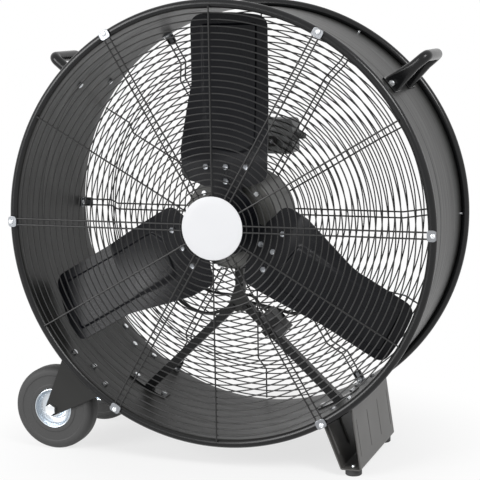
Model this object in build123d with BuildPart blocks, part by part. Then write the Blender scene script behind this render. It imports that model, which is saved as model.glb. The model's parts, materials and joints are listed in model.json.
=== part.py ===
from build123d import *
import os
from math import asin, atan2, cos, degrees, hypot, pi, radians, sin, sqrt, tan

os.makedirs("parts", exist_ok=True)

# A direct-drive drum fan on two wheels and a foot.  Millimetres, +Z up, the drum's axis along Y.
# The origin lies on the floor, under the drum's axis and at half its depth; the air leaves at -Y.
# Angles are counter-clockwise from +X, as seen from the front.

# Drum
blade_diameter = 762.0
tip_clearance = 8.0
shell_wall = 1.5
bead_diameter = 16.0
bead_mouth = 1.5
drum_depth = 306.0
axis_height = 443.0
swage_depth = -46.0
swage_width = 3.0
swage_cut = 0.5

# Fits
seat_gap = 0.1
running_gap = 0.05
hole_gap = 0.2
weld_gap = 0.15

# Screws and bolts: M4, M6 and M12
m4_shank = 4.0
m4_head = 9.0
m4_head_height = 2.4
m4_head_taper = 20.0
m4_grip = 8.0
m6_shank = 6.0
m6_across = 10.0
m6_head_height = 4.0
m6_nut_height = 5.0
m12_shank = 12.0
m12_across = 19.0
m12_head_height = 7.5
m12_nut_height = 10.0
thread_tail = 1.5

# Guards
ring_wire = 2.5
ring_flats = 12
spoke_wire = 3.0
ring_count = 28
first_ring_radius = 63.5
guard_edge_gap = 8.0
spoke_pair_pitch = 11.5
spoke_inner_radius = 40.0
spoke_end_gap = 3.0
front_ring_setback = 2.0
rear_ring_depth = 86.0
dish_rise = 49.0
flat_rings = 20
slope_rings = 3
knee_radius = 4.0
cap_diameter = 115.0
cap_thickness = 1.6

# Guard clips
clip_count = 6
clip_width = 20.0
clip_length = 16.0
clip_thickness = 1.5
clip_corner = 5.0
clip_pad_length = 11.0
clip_pad_width = 16.0
rear_clip_height = 20.0
rear_clip_leg = 16.0

# Blades and hub
blade_count = 3
blade_thickness = 2.5
blade_depth = -76.0
blade_root = 66.0
blade_root_width = 84.0
blade_neck = 73.0
blade_neck_width = 120.0
blade_shoulder = 79.0
blade_shoulder_end = 130.0
blade_waist = 255.0
blade_leading = 60.0
blade_leading_root = 87.0
blade_trailing = 79.0
blade_pitch = 17.0
twist_start = 115.0
twist_end = 240.0
tip_corner = 22.0
root_corner = 20.0
blade_bolt_radius = 102.0
blade_bolt_spread = 38.5
blade_inner_bolt_radius = 75.5
spider_thickness = 4.0
spider_radius = 60.0
spider_arm_width = 100.0
spider_arm_length = 44.0
spider_arm_middle = 90.0
spider_corner = 14.0
hub_radius = 22.0
hub_gap = 2.0

# Motor
motor_diameter = 178.0
motor_wall = 9.0
motor_front = -56.0
motor_rear = 66.0
bell_height = 20.0
bell_plate = 8.0
boss_radius = 24.0
boss_proud = 4.0
boss_depth_inside = 14.0
bearing_lip = 3.0
bell_corner = 5.0
shaft_diameter = 16.0
shaft_front_reach = 8.0
shaft_hole_gap = 1.0
bearing_diameter = 35.0
bearing_width = 11.0
stator_length = 60.0
stator_bore = 96.0
stator_slots = 24
stator_slot_width = 5.0
stator_slot_depth = 14.0
air_gap = 0.6
winding_inner = 52.0
winding_outer = 66.0
winding_reach = 14.0
through_bolt_radius = 72.0
through_bolt_shank = 5.0
through_bolt_across = 8.0
through_bolt_head = 3.5
through_bolt_count = 4

# Motor support
strut_size = 16.0
strut_wall = 1.5
strut_depth = -8.0
strut_foot_angle = 240.5
apex_drop = 156.0
strut_foot_half_length = 41.0
strut_foot_width = 30.0
strut_foot_thickness = 3.0
strut_bolt_pitch = 66.0
gusset_thickness = 4.0
gusset_end_radius = 8.0
gusset_bolt_reach = 18.0
gusset_rise = 24.0
post_gap = 13.0
cradle_thickness = 4.0
cradle_depth = 60.0
cradle_half_angle = 32.0
motor_bolt_angle = 20.0
motor_bolt_pitch = 36.0
motor_bolt_bite = 7.0

# Handles
handle_angle = 39.8
handle_tube = 20.0
handle_wall = 1.5
handle_grip_radius = 469.0
handle_leg_pitch = 103.0
handle_bolt_pitch = 138.0
handle_depth = 17.0
handle_bend = 12.0
handle_tab_width = 34.0
handle_tab_edge = 11.0
handle_tab_thickness = 3.0
handle_tab_heel = 19.0
handle_flare = 48.0

# Wheels, their brackets and axles
wheel_diameter = 160.0
wheel_width = 40.0
wheel_setback = 49.0
wheel_wall_gap = 28.9
cheek_gap = 3.0
cheek_thickness = 3.0
cheek_end_radius = 13.0
bracket_half_length = 59.0
bracket_bolt_pitch = 42.0
bracket_outer_bolt = 15.0
bracket_middle_bolt = 7.0
rim_diameter = 76.0
rim_wall = 2.5
rim_inset = 1.0
web_thickness = 4.0
rim_hub_diameter = 32.0
bush_diameter = 20.0
bush_end_gap = 0.5
tread_radius = 12.0

# Foot
foot_height = 12.0
foot_pad_diameter = 30.0
foot_pad_insets = (18.0, 16.0)
foot_plate = 2.5
foot_setback = 17.0
foot_length = 250.0
foot_inner_base = 229.0
foot_outer_base = 267.0
foot_inner_angle = -60.5
foot_outer_angle = -50.5
foot_bolt_inset = 2.3
foot_bolt_insets = (41.0, 39.0)
foot_groove_width = 3.0
foot_groove_length = 78.0
foot_groove_pitch = 73.0
foot_groove_count = 4
foot_groove_cut = 1.0
foot_pad_chamfer = 1.5
foot_screw_bite = 8.0
nut_access = 16.0

# Controls and wiring
box_width = 130.0
box_height = 67.0
box_depth = 45.0
box_center = (10.0, 144.0)
box_wall = 2.0
box_corner = 8.0
knockout_diameter = 19.0
knockout_offset = 50.0
knockout_cut = 0.6
cover_thickness = 3.0
cover_screw_inset = 9.0
clamp_plate_thickness = 3.0
clamp_plate_height = 20.0
clamp_plate_edge = 10.0
clamp_screw_angle = 15.0
clamp_ring_gap = 6.5
switch_size = 32.0
switch_depth = 24.0
knob_diameter = 38.0
knob_height = 15.0
knob_gap = 0.5
knob_finger_width = 10.0
knob_spindle = 6.0
knob_spindle_length = 14.0
gland_across = 18.0
gland_nut = 5.0
gland_dome = 14.0
gland_pitch = 34.0
lead_diameter = 6.5
capacitor_lead_diameter = 5.5
boss_angles = (214.0, 229.0)
boss_depth = 14.0
lead_boss_diameter = 14.0
lead_boss_length = 10.0
capacitor_length = 52.0
capacitor_thickness = 24.0
capacitor_depth = 36.0
capacitor_reach = 78.0
strap_width = 14.0
strap_thickness = 1.5
lead_clip_width = 8.0
lead_clip_wall = 1.5
lead_clip_bore = 7.3
clip_spot = (70.0, 98.0)

# Values that follow from them
shell_inner = blade_diameter / 2 + tip_clearance
shell_outer = shell_inner + shell_wall
bead_radius = bead_diameter / 2
bead_center = shell_inner + bead_radius
front_face = -drum_depth / 2
rear_face = drum_depth / 2
wheel_depth = rear_face - wheel_setback
foot_front = front_face + foot_setback
drum_axis = Axis((0, 0, axis_height), (0, 1, 0))
section = Plane(origin=(0, 0, axis_height), x_dir=(0, 1, 0), z_dir=(1, 0, 0))


def front_view(depth):
    """A plane across the drum's axis: local x to the right, y up, z to the front."""
    return Plane(origin=(0, depth, axis_height), x_dir=(1, 0, 0), z_dir=(0, -1, 0))


def wall_plane(angle, depth, radius, outward=True):
    """A plane across a radius of the drum, its local x along the axis."""
    side = 1 if outward else -1
    across, up = cos(radians(angle)), sin(radians(angle))
    place = (radius * across, depth, axis_height + radius * up)
    return Plane(origin=place, x_dir=(0, 1, 0), z_dir=(side * across, 0, side * up))


def radial_section(angle):
    """The plane through the drum's axis at an angle: local x outwards, y to the rear."""
    across, up = cos(radians(angle)), sin(radians(angle))
    return Plane(origin=(0, 0, axis_height), x_dir=(across, 0, up), z_dir=(-up, 0, across))


def face_plane(angle, radius, depth, shift=0.0, forward=True):
    """A plane across the drum's axis at an angle and radius: local x outwards."""
    across, up = cos(radians(angle)), sin(radians(angle))
    place = (radius * across - shift * up, depth, axis_height + radius * up + shift * across)
    return Plane(origin=place, x_dir=(across, 0, up), z_dir=(0, -1 if forward else 1, 0))


def wall_sector(inner, outer, angle, half_angle):
    """The sketch of a stretch of a ring around the drum's axis."""
    with BuildSketch() as sector:
        with BuildLine():
            near = CenterArc((0, 0), inner, angle - half_angle, 2 * half_angle)
            far = CenterArc((0, 0), outer, angle - half_angle, 2 * half_angle)
            Line(near @ 0, far @ 0)
            Line(near @ 1, far @ 1)
        make_face()
    return sector.sketch


def hex_bolts(planes, grip, shank=m6_shank, across=m6_across, head=m6_head_height):
    """Bolts with their heads seated on the planes and their shanks through the grip below."""
    with BuildPart() as bolts:
        with BuildSketch(*planes):
            RegularPolygon(across / 2, 6, major_radius=False)
        extrude(amount=head)
        with BuildSketch(*planes):
            Circle(shank / 2)
        extrude(amount=-grip)
    return bolts


def hex_nuts(planes, shank=m6_shank, across=m6_across, height=m6_nut_height):
    """Nuts seated on the planes, around shanks that come up through them."""
    with BuildPart() as nuts:
        with BuildSketch(*planes):
            RegularPolygon(across / 2, 6, major_radius=False)
            Circle(shank / 2 + running_gap, mode=Mode.SUBTRACT)
        extrude(amount=height)
    return nuts


def pan_screws(planes, grip):
    """Small round-headed screws seated on the planes."""
    with BuildPart() as screws:
        with BuildSketch(*planes):
            Circle(m4_head / 2)
        extrude(amount=m4_head_height, taper=m4_head_taper)
        with BuildSketch(*planes):
            Circle(m4_shank / 2)
        extrude(amount=-grip)
    return screws


def save(piece, label):
    """Labels a finished piece and writes it."""
    piece.part.label = label
    export_step(piece.part, f"parts/{label}.step")


# ---- Places of the bolts through the drum's wall ----
wheel_radius = wheel_diameter / 2
saddle_inner = shell_outer + seat_gap
axle_distance = shell_outer + wheel_wall_gap + wheel_radius
axle_x = -sqrt(axle_distance**2 - (axis_height - wheel_radius) ** 2)
bracket_angle = degrees(atan2(wheel_radius - axis_height, axle_x))
bracket_bolt_step = degrees(bracket_bolt_pitch / shell_outer)
wheel_sides = (("front", -1), ("rear", 1))

bracket_bolt_places = []
for name, side in wheel_sides:
    for step in (-1, 0, 1):
        inset = bracket_outer_bolt if step else -bracket_middle_bolt
        bracket_bolt_places.append(
            (bracket_angle + step * bracket_bolt_step, side * (wheel_depth + inset)))

foot_rear = foot_front + foot_length
foot_pad_depths = (foot_front + foot_pad_insets[0], foot_rear - foot_pad_insets[1])
foot_bolt_depths = (foot_front + foot_bolt_insets[0], foot_rear - foot_bolt_insets[1])
foot_bolt_places = [(angle, depth) for depth in foot_bolt_depths
                    for angle in (foot_inner_angle + foot_bolt_inset,
                                  foot_outer_angle - foot_bolt_inset)]

handle_sides = (("left", 180 - handle_angle), ("right", handle_angle))
handle_bolt_places = [(angle, handle_depth + side * handle_bolt_pitch / 2)
                      for name, angle in handle_sides for side in (-1, 1)]

strut_sides = (("left", strut_foot_angle, -1), ("right", 540 - strut_foot_angle, 1))
strut_bolt_step = degrees(strut_bolt_pitch / 2 / shell_inner)
strut_bolt_places = [(angle + side * strut_bolt_step, strut_depth)
                     for name, angle, hand in strut_sides for side in (-1, 1)]

rear_outer_depth = rear_ring_depth + dish_rise
clip_angles = [index * 360 / clip_count for index in range(clip_count)]
rear_clip_depth = rear_outer_depth - ring_wire - clip_thickness
rear_screw_places = [(angle, rear_clip_depth) for angle in clip_angles]
leg_inner = shell_inner - 2 * seat_gap - clip_thickness
clip_screw_radius = bead_center + (clip_length - clip_pad_length) / 2

# ---- Drum shell: a rolled sheet with an outward bead at each mouth ----
bead_middle = rear_face - bead_radius
bead_turn = 270 + degrees(asin((bead_center - shell_outer - bead_mouth) / bead_radius))
with BuildPart() as drum_shell:
    with BuildSketch(section):
        with BuildLine():
            Line((-bead_middle, shell_inner), (bead_middle, shell_inner))
            Line((-bead_middle, shell_outer), (bead_middle, shell_outer))
            for side in (-1, 1):
                middle = (side * bead_middle, bead_center)
                skin = CenterArc(middle, bead_radius, -90, side * bead_turn)
                lining = CenterArc(middle, bead_radius - shell_wall, -90, side * bead_turn)
                Line(skin @ 1, lining @ 1)
        make_face()
        with Locations((swage_depth, shell_outer)):
            Rectangle(swage_width, 2 * swage_cut, mode=Mode.SUBTRACT)
    revolve(axis=drum_axis)
    with BuildSketch(*[wall_plane(angle, depth, shell_inner - shell_wall) for angle, depth in
                       bracket_bolt_places + foot_bolt_places + handle_bolt_places
                       + strut_bolt_places]):
        Circle(m6_shank / 2 + hole_gap)
    extrude(amount=3 * shell_wall, mode=Mode.SUBTRACT)
    with BuildSketch(*[wall_plane(angle, depth, shell_inner - shell_wall)
                       for angle, depth in rear_screw_places]):
        Circle(m4_shank / 2 + hole_gap)
    extrude(amount=3 * shell_wall, mode=Mode.SUBTRACT)
    with BuildSketch(*[face_plane(angle, clip_screw_radius, front_face + bead_radius)
                       for angle in clip_angles]):
        Circle(m4_shank / 2 + hole_gap)
    extrude(amount=2 * bead_radius, mode=Mode.SUBTRACT)
save(drum_shell, "drum_shell")

# ---- Front guard: flat rings, of wire drawn with twelve flats, with spokes welded to their front ----
last_ring_radius = shell_inner - guard_edge_gap
ring_pitch = (last_ring_radius - first_ring_radius) / (ring_count - 1)
ring_radii = [first_ring_radius + index * ring_pitch for index in range(ring_count)]
weld_offset = (ring_wire + spoke_wire) / 2 + weld_gap
spoke_places = [(angle, side * spoke_pair_pitch / 2) for angle in clip_angles for side in (-1, 1)]
spoke_places += [(angle + 180 / clip_count, 0.0) for angle in clip_angles]
front_ring_depth = front_face + front_ring_setback
front_spoke_depth = front_ring_depth - weld_offset
spoke_outer_radius = shell_inner + spoke_end_gap

with BuildPart() as front_guard_wires:
    with BuildSketch(section):
        for radius in ring_radii:
            with Locations((front_ring_depth, radius)):
                RegularPolygon(ring_wire / 2, ring_flats)
    revolve(axis=drum_axis)
    for angle, shift in spoke_places:
        with BuildSketch(wall_plane(angle, front_spoke_depth, spoke_inner_radius)):
            with Locations((0, shift)):
                Circle(spoke_wire / 2)
        extrude(amount=spoke_outer_radius - spoke_inner_radius)
save(front_guard_wires, "front_guard_wires")

# ---- Round cap over the middle of the front guard: a shallow pan with a turned rim ----
cap_back = front_spoke_depth - spoke_wire / 2 - seat_gap
with BuildPart() as front_guard_cap:
    with BuildSketch(front_view(cap_back)):
        Circle(cap_diameter / 2)
    extrude(amount=cap_thickness)
    fillet(front_guard_cap.faces().sort_by(Axis.Y)[0].edges(), cap_thickness * 0.6)
save(front_guard_cap, "front_guard_cap")

# ---- Front clips: plates over the spoke ends, stepped down to the bead ----
clip_pad_height = front_face - cap_back - seat_gap
with BuildPart() as front_clips:
    with BuildSketch(*[face_plane(angle, bead_center, cap_back) for angle in clip_angles]):
        RectangleRounded(clip_length, clip_width, clip_corner)
    extrude(amount=clip_thickness)
    with BuildSketch(*[face_plane(angle, clip_screw_radius, cap_back) for angle in clip_angles]):
        Rectangle(clip_pad_length, clip_pad_width)
    extrude(amount=-clip_pad_height)
    with BuildSketch(*[face_plane(angle, clip_screw_radius, cap_back + clip_pad_height)
                       for angle in clip_angles]):
        Circle(m4_shank / 2 + hole_gap)
    extrude(amount=clip_pad_height + clip_thickness, mode=Mode.SUBTRACT)
save(front_clips, "front_clips")

front_screw_planes = [face_plane(angle, clip_screw_radius, cap_back - clip_thickness)
                      for angle in clip_angles]
front_clip_screws = pan_screws(front_screw_planes, clip_thickness + m4_grip)
save(front_clip_screws, "front_clip_screws")

# ---- Rear guard: the same rings on a dish, with the spokes welded to their rear ----
knee_inner = ring_radii[flat_rings - 1] + ring_pitch / 2
knee_outer = ring_radii[flat_rings + slope_rings] - ring_pitch / 2
knee_shift = weld_offset * tan(atan2(dish_rise, knee_outer - knee_inner) / 2)
rear_spoke_end = leg_inner - spoke_end_gap
rear_spoke_depth = rear_ring_depth + weld_offset

with BuildPart() as rear_guard_wires:
    with BuildSketch(section):
        for radius in ring_radii:
            rise = min(max((radius - knee_inner) / (knee_outer - knee_inner), 0.0), 1.0)
            with Locations((rear_ring_depth + dish_rise * rise, radius)):
                RegularPolygon(ring_wire / 2, ring_flats)
    revolve(axis=drum_axis)
    for angle, shift in spoke_places:
        with BuildLine(radial_section(angle).offset(shift)) as run:
            FilletPolyline(
                (first_ring_radius - ring_wire, rear_spoke_depth),
                (knee_inner - knee_shift, rear_spoke_depth),
                (knee_outer - knee_shift, rear_spoke_depth + dish_rise),
                (rear_spoke_end, rear_spoke_depth + dish_rise),
                radius=knee_radius)
        with BuildSketch(Plane(origin=run.line @ 0, z_dir=run.line % 0)):
            Circle(spoke_wire / 2)
        sweep(path=run.line)
save(rear_guard_wires, "rear_guard_wires")

# ---- Rear clips: angles on the inner wall, over the ends of the spokes ----
clip_plate_front = rear_spoke_depth + dish_rise + spoke_wire / 2 + seat_gap
with BuildPart() as rear_clips:
    leg_middle = clip_plate_front + clip_thickness - rear_clip_leg / 2
    with BuildSketch(*[wall_plane(angle, leg_middle, leg_inner) for angle in clip_angles]):
        Rectangle(rear_clip_leg, clip_width)
    extrude(amount=clip_thickness)
    plate_inner = leg_inner + clip_thickness - rear_clip_height
    with BuildSketch(*[wall_plane(angle, clip_plate_front + clip_thickness / 2, plate_inner)
                       for angle in clip_angles]):
        Rectangle(clip_thickness, clip_width)
    extrude(amount=rear_clip_height)
    with BuildSketch(*[wall_plane(angle, depth, leg_inner) for angle, depth in rear_screw_places]):
        Circle(m4_shank / 2 + hole_gap)
    extrude(amount=clip_thickness, mode=Mode.SUBTRACT)
save(rear_clips, "rear_clips")

rear_screw_planes = [wall_plane(angle, depth, leg_inner - seat_gap, outward=False)
                     for angle, depth in rear_screw_places]
rear_clip_screws = pan_screws(rear_screw_planes, clip_thickness + shell_wall + m4_grip / 2)
save(rear_clip_screws, "rear_clip_screws")

# ---- Handles: bent tubes whose ends are pressed flat into bolted tabs ----
tab_outer = saddle_inner + handle_tab_thickness
tab_half_angle = degrees(handle_tab_width / 2 / saddle_inner)
tab_length = (handle_bolt_pitch - handle_leg_pitch) / 2 + handle_tab_edge + handle_tab_heel
flare_top = tab_outer + handle_flare
for name, angle in handle_sides:
    with BuildPart() as handle:
        with BuildLine(radial_section(angle)) as run:
            FilletPolyline(
                (flare_top, handle_depth - handle_leg_pitch / 2),
                (handle_grip_radius, handle_depth - handle_leg_pitch / 2),
                (handle_grip_radius, handle_depth + handle_leg_pitch / 2),
                (flare_top, handle_depth + handle_leg_pitch / 2),
                radius=handle_bend)
        with BuildSketch(Plane(origin=run.line @ 0, z_dir=run.line % 0)):
            Circle(handle_tube / 2)
            Circle(handle_tube / 2 - handle_wall, mode=Mode.SUBTRACT)
        sweep(path=run.line)
        for side in (-1, 1):
            leg_depth = handle_depth + side * handle_leg_pitch / 2
            with BuildSketch(wall_plane(angle, leg_depth, flare_top)):
                Circle(handle_tube / 2)
            with BuildSketch(wall_plane(angle, leg_depth, saddle_inner + handle_tab_thickness / 2)):
                RectangleRounded(handle_tube - handle_wall, handle_tab_width - handle_wall,
                                 handle_tube / 4)
            loft()
            tab_middle = leg_depth + side * (tab_length / 2 - handle_tab_heel)
            with BuildSketch(front_view(tab_middle + tab_length / 2)):
                add(wall_sector(saddle_inner, tab_outer, angle, tab_half_angle))
            extrude(amount=tab_length)
            with BuildSketch(wall_plane(angle, handle_depth + side * handle_bolt_pitch / 2,
                                        saddle_inner)):
                Circle(m6_shank / 2 + hole_gap)
            extrude(amount=2 * handle_tab_thickness, both=True, mode=Mode.SUBTRACT)
    save(handle, f"{name}_handle")


# ---- Wheel brackets: two cheeks on a curved saddle between them ----
cheek_span = wheel_width + 2 * cheek_gap
axle_height = wheel_radius
saddle_half_angle = degrees(bracket_half_length / saddle_inner)
bracket_saddle_outer = saddle_inner + cheek_thickness
cheek_foot = [(saddle_inner * cos(radians(bracket_angle + side * saddle_half_angle)),
               saddle_inner * sin(radians(bracket_angle + side * saddle_half_angle)))
              for side in (-1, 1)]
for name, side in wheel_sides:
    with BuildPart() as bracket:
        for half in (-1, 1):
            cheek_depth = side * wheel_depth + half * (cheek_span + cheek_thickness) / 2
            with BuildSketch(front_view(cheek_depth + cheek_thickness / 2)):
                with Locations((axle_x, axle_height - axis_height)):
                    Circle(cheek_end_radius)
                with Locations(*cheek_foot):
                    Circle(cheek_thickness)
                make_hull()
                Circle(saddle_inner, mode=Mode.SUBTRACT)
                with Locations((axle_x, axle_height - axis_height)):
                    Circle(m12_shank / 2 + hole_gap, mode=Mode.SUBTRACT)
            extrude(amount=cheek_thickness)
        saddle_rear = side * wheel_depth + cheek_span / 2 + cheek_thickness
        with BuildSketch(front_view(saddle_rear)):
            add(wall_sector(saddle_inner, bracket_saddle_outer, bracket_angle,
                            saddle_half_angle))
        extrude(amount=cheek_span + 2 * cheek_thickness)
        with BuildSketch(*[wall_plane(angle, depth, saddle_inner)
                           for angle, depth in bracket_bolt_places]):
            Circle(m6_shank / 2 + hole_gap)
        extrude(amount=2 * cheek_thickness, both=True, mode=Mode.SUBTRACT)
    save(bracket, f"{name}_wheel_bracket")

# ---- Bolts that hold the handles and the wheel brackets, their heads inside the drum ----
bolt_seat = shell_inner - seat_gap
tab_nut_seat = tab_outer + seat_gap
bracket_nut_seat = bracket_saddle_outer + seat_gap
shell_bolts = hex_bolts([wall_plane(angle, depth, bolt_seat, outward=False)
                         for angle, depth in handle_bolt_places + bracket_bolt_places],
                        bracket_nut_seat + m6_nut_height + thread_tail - bolt_seat)
save(shell_bolts, "shell_bolts")

# ---- Wheels: a solid tyre on a dished steel rim, turning on a bush round the axle bolt ----
for name, side in wheel_sides:
    across_axle = Plane(origin=(axle_x, side * wheel_depth, axle_height), x_dir=(0, 1, 0),
                        z_dir=(1, 0, 0))
    axle = Axis((axle_x, 0, axle_height), (0, 1, 0))
    rim_radius = rim_diameter / 2
    bush_radius = bush_diameter / 2

    with BuildPart() as tyre:
        with BuildSketch(across_axle) as tread:
            with Locations((0, (rim_radius + wheel_radius) / 2)):
                Rectangle(wheel_width, wheel_radius - rim_radius)
            fillet(tread.vertices().group_by(Axis.Y)[-1], tread_radius)
        revolve(axis=axle)
    save(tyre, f"{name}_tyre")

    with BuildPart() as rim:
        with BuildSketch(across_axle):
            with Locations((0, rim_radius - running_gap - rim_wall / 2)):
                Rectangle(wheel_width - 2 * rim_inset, rim_wall)
            with Locations((0, (bush_radius + running_gap + rim_hub_diameter / 2) / 2)):
                Rectangle(wheel_width - 2 * rim_inset,
                          rim_hub_diameter / 2 - bush_radius - running_gap)
            with Locations((0, (rim_hub_diameter / 2 + rim_radius) / 2 - rim_wall / 2)):
                Rectangle(web_thickness, rim_radius - rim_hub_diameter / 2)
        revolve(axis=axle)
    save(rim, f"{name}_rim")

    with BuildPart() as bush:
        with BuildSketch(across_axle):
            with Locations((0, (m12_shank / 2 + running_gap + bush_radius) / 2)):
                Rectangle(cheek_span - 2 * bush_end_gap,
                          bush_radius - m12_shank / 2 - running_gap)
        revolve(axis=axle)
    save(bush, f"{name}_bush")

cheek_outside = cheek_span / 2 + cheek_thickness + seat_gap
axle_bolt_planes = [Plane(origin=(axle_x, side * (wheel_depth + cheek_outside), axle_height),
                          x_dir=(1, 0, 0), z_dir=(0, side, 0)) for name, side in wheel_sides]
axle_nut_planes = [Plane(origin=(axle_x, side * (wheel_depth - cheek_outside), axle_height),
                         x_dir=(1, 0, 0), z_dir=(0, -side, 0)) for name, side in wheel_sides]
axle_bolts = hex_bolts(axle_bolt_planes, 2 * cheek_outside + m12_nut_height + thread_tail,
                       m12_shank, m12_across, m12_head_height)
save(axle_bolts, "axle_bolts")
axle_nuts = hex_nuts(axle_nut_planes, m12_shank, m12_across, m12_nut_height)
save(axle_nuts, "axle_nuts")

# ---- Foot: a folded plate box on rubber pads, with grooves pressed into both sides ----
foot_middle = foot_front + foot_length / 2
foot_pad_x = (foot_inner_base + foot_outer_base) / 2


def foot_side(top_angle, base, inset):
    """The plane of one side of the foot: local x along the drum's axis, y up the plate."""
    top_x = saddle_inner * cos(radians(top_angle))
    top_z = axis_height + saddle_inner * sin(radians(top_angle))
    rise = hypot(top_x - base, top_z - foot_height)
    out_x = (top_z - foot_height) / rise
    out_z = (base - top_x) / rise
    return Plane(origin=((top_x + base) / 2 + inset * out_x, foot_middle,
                         (top_z + foot_height) / 2 + inset * out_z),
                 x_dir=(0, 1, 0), z_dir=(out_x, 0, out_z))


with BuildPart() as foot_bracket:
    with BuildSketch(front_view(foot_rear)):
        with BuildLine():
            saddle = CenterArc((0, 0), saddle_inner, foot_inner_angle,
                               foot_outer_angle - foot_inner_angle)
            base_left = (foot_inner_base, foot_height - axis_height)
            base_right = (foot_outer_base, foot_height - axis_height)
            Polyline(saddle @ 0, base_left, base_right, saddle @ 1)
        make_face()
        offset(amount=-foot_plate, kind=Kind.INTERSECTION, mode=Mode.SUBTRACT)
    extrude(amount=foot_length)
    with BuildSketch(foot_side(foot_inner_angle, foot_inner_base, foot_plate),
                     foot_side(foot_outer_angle, foot_outer_base, 0.0)):
        with GridLocations(foot_groove_pitch, 0, foot_groove_count, 1):
            RectangleRounded(foot_groove_width, foot_groove_length, foot_groove_width / 3)
    extrude(amount=-foot_groove_cut, mode=Mode.SUBTRACT)
    with BuildSketch(*[wall_plane(angle, depth, saddle_inner)
                       for angle, depth in foot_bolt_places]):
        Circle(m6_shank / 2 + hole_gap)
    extrude(amount=2 * foot_plate, both=True, mode=Mode.SUBTRACT)
    with BuildSketch(*[wall_plane(angle, depth, saddle_inner)
                       for angle, depth in strut_bolt_places[-2:]]):
        Circle(nut_access / 2)
    extrude(amount=2 * foot_plate, both=True, mode=Mode.SUBTRACT)
    with BuildSketch(Plane.XY.offset(foot_height)):
        with Locations(*[(foot_pad_x, depth) for depth in foot_pad_depths]):
            Circle(m4_shank / 2 + hole_gap)
    extrude(amount=2 * foot_plate, mode=Mode.SUBTRACT)
save(foot_bracket, "foot_bracket")

foot_nut_seat = saddle_inner + foot_plate + seat_gap
foot_bracket_bolts = hex_bolts([wall_plane(angle, depth, bolt_seat, outward=False)
                                for angle, depth in foot_bolt_places],
                               foot_nut_seat + m6_nut_height + thread_tail - bolt_seat)
save(foot_bracket_bolts, "foot_bracket_bolts")

with BuildPart() as rubber_feet:
    with BuildSketch():
        with Locations(*[(foot_pad_x, depth) for depth in foot_pad_depths]):
            Circle(foot_pad_diameter / 2)
    extrude(amount=foot_height - seat_gap)
    chamfer(rubber_feet.faces().filter_by(Axis.Z).group_by(Axis.Z)[0].edges(), foot_pad_chamfer)
    with BuildSketch(Plane.XY.offset(foot_height)):
        with Locations(*[(foot_pad_x, depth) for depth in foot_pad_depths]):
            Circle(m4_shank / 2 + running_gap)
    extrude(amount=-foot_screw_bite - seat_gap, mode=Mode.SUBTRACT)
save(rubber_feet, "rubber_feet")

foot_screws = pan_screws([Plane(origin=(foot_pad_x, depth, foot_height + foot_plate + seat_gap))
                          for depth in foot_pad_depths], foot_plate + foot_screw_bite)
save(foot_screws, "foot_screws")

# ---- Struts: square tubes from the foot of the post down to plates on the wall ----
strut_plate_outer = shell_inner - seat_gap
strut_plate_inner = strut_plate_outer - strut_foot_thickness
strut_plate_half_angle = degrees(strut_foot_half_length / strut_plate_outer)
apex_z = axis_height - apex_drop
strut_run_x = shell_inner * abs(cos(radians(strut_foot_angle)))
strut_run_z = -apex_drop - shell_inner * sin(radians(strut_foot_angle))
strut_run = hypot(strut_run_x, strut_run_z)
strut_across = strut_run_x / strut_run
strut_down = strut_run_z / strut_run


def strut_plane(hand, reach):
    """A plane across a strut at a reach from the apex: local x along the drum's axis."""
    place = (hand * strut_across * reach, strut_depth, apex_z - strut_down * reach)
    return Plane(origin=place, x_dir=(0, 1, 0), z_dir=(hand * strut_across, 0, -strut_down))


for name, angle, hand in strut_sides:
    with BuildPart() as strut:
        with BuildSketch(strut_plane(hand, -strut_size)):
            Rectangle(strut_size, strut_size)
            Rectangle(strut_size - 2 * strut_wall, strut_size - 2 * strut_wall, mode=Mode.SUBTRACT)
        extrude(amount=strut_run + strut_size)
        with BuildSketch(front_view(strut_depth + strut_size)):
            Circle((strut_plate_inner + strut_plate_outer) / 2)
            with Locations((hand * (weld_gap - shell_inner), 0)):
                Rectangle(2 * shell_inner, 2 * shell_inner, mode=Mode.SUBTRACT)
        extrude(amount=2 * strut_size, mode=Mode.INTERSECT)
        with BuildSketch(front_view(strut_depth + strut_foot_width / 2)):
            add(wall_sector(strut_plate_inner, strut_plate_outer, angle,
                            strut_plate_half_angle))
        extrude(amount=strut_foot_width)
        with BuildSketch(*[wall_plane(place, depth, strut_plate_inner - strut_foot_thickness)
                           for place, depth in strut_bolt_places]):
            Circle(m6_shank / 2 + hole_gap)
        extrude(amount=3 * strut_foot_thickness, mode=Mode.SUBTRACT)
        with BuildSketch(front_view(strut_depth)):
            with Locations((hand * strut_across * gusset_bolt_reach,
                            -apex_drop - strut_down * gusset_bolt_reach)):
                Circle(m6_shank / 2 + hole_gap)
        extrude(amount=strut_size, both=True, mode=Mode.SUBTRACT)
    save(strut, f"{name}_strut")

strut_seat = strut_plate_inner - seat_gap
strut_bolts = hex_bolts([wall_plane(angle, depth, strut_seat, outward=False)
                         for angle, depth in strut_bolt_places],
                        shell_outer + seat_gap + m6_nut_height + thread_tail - strut_seat)
save(strut_bolts, "strut_bolts")

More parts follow.
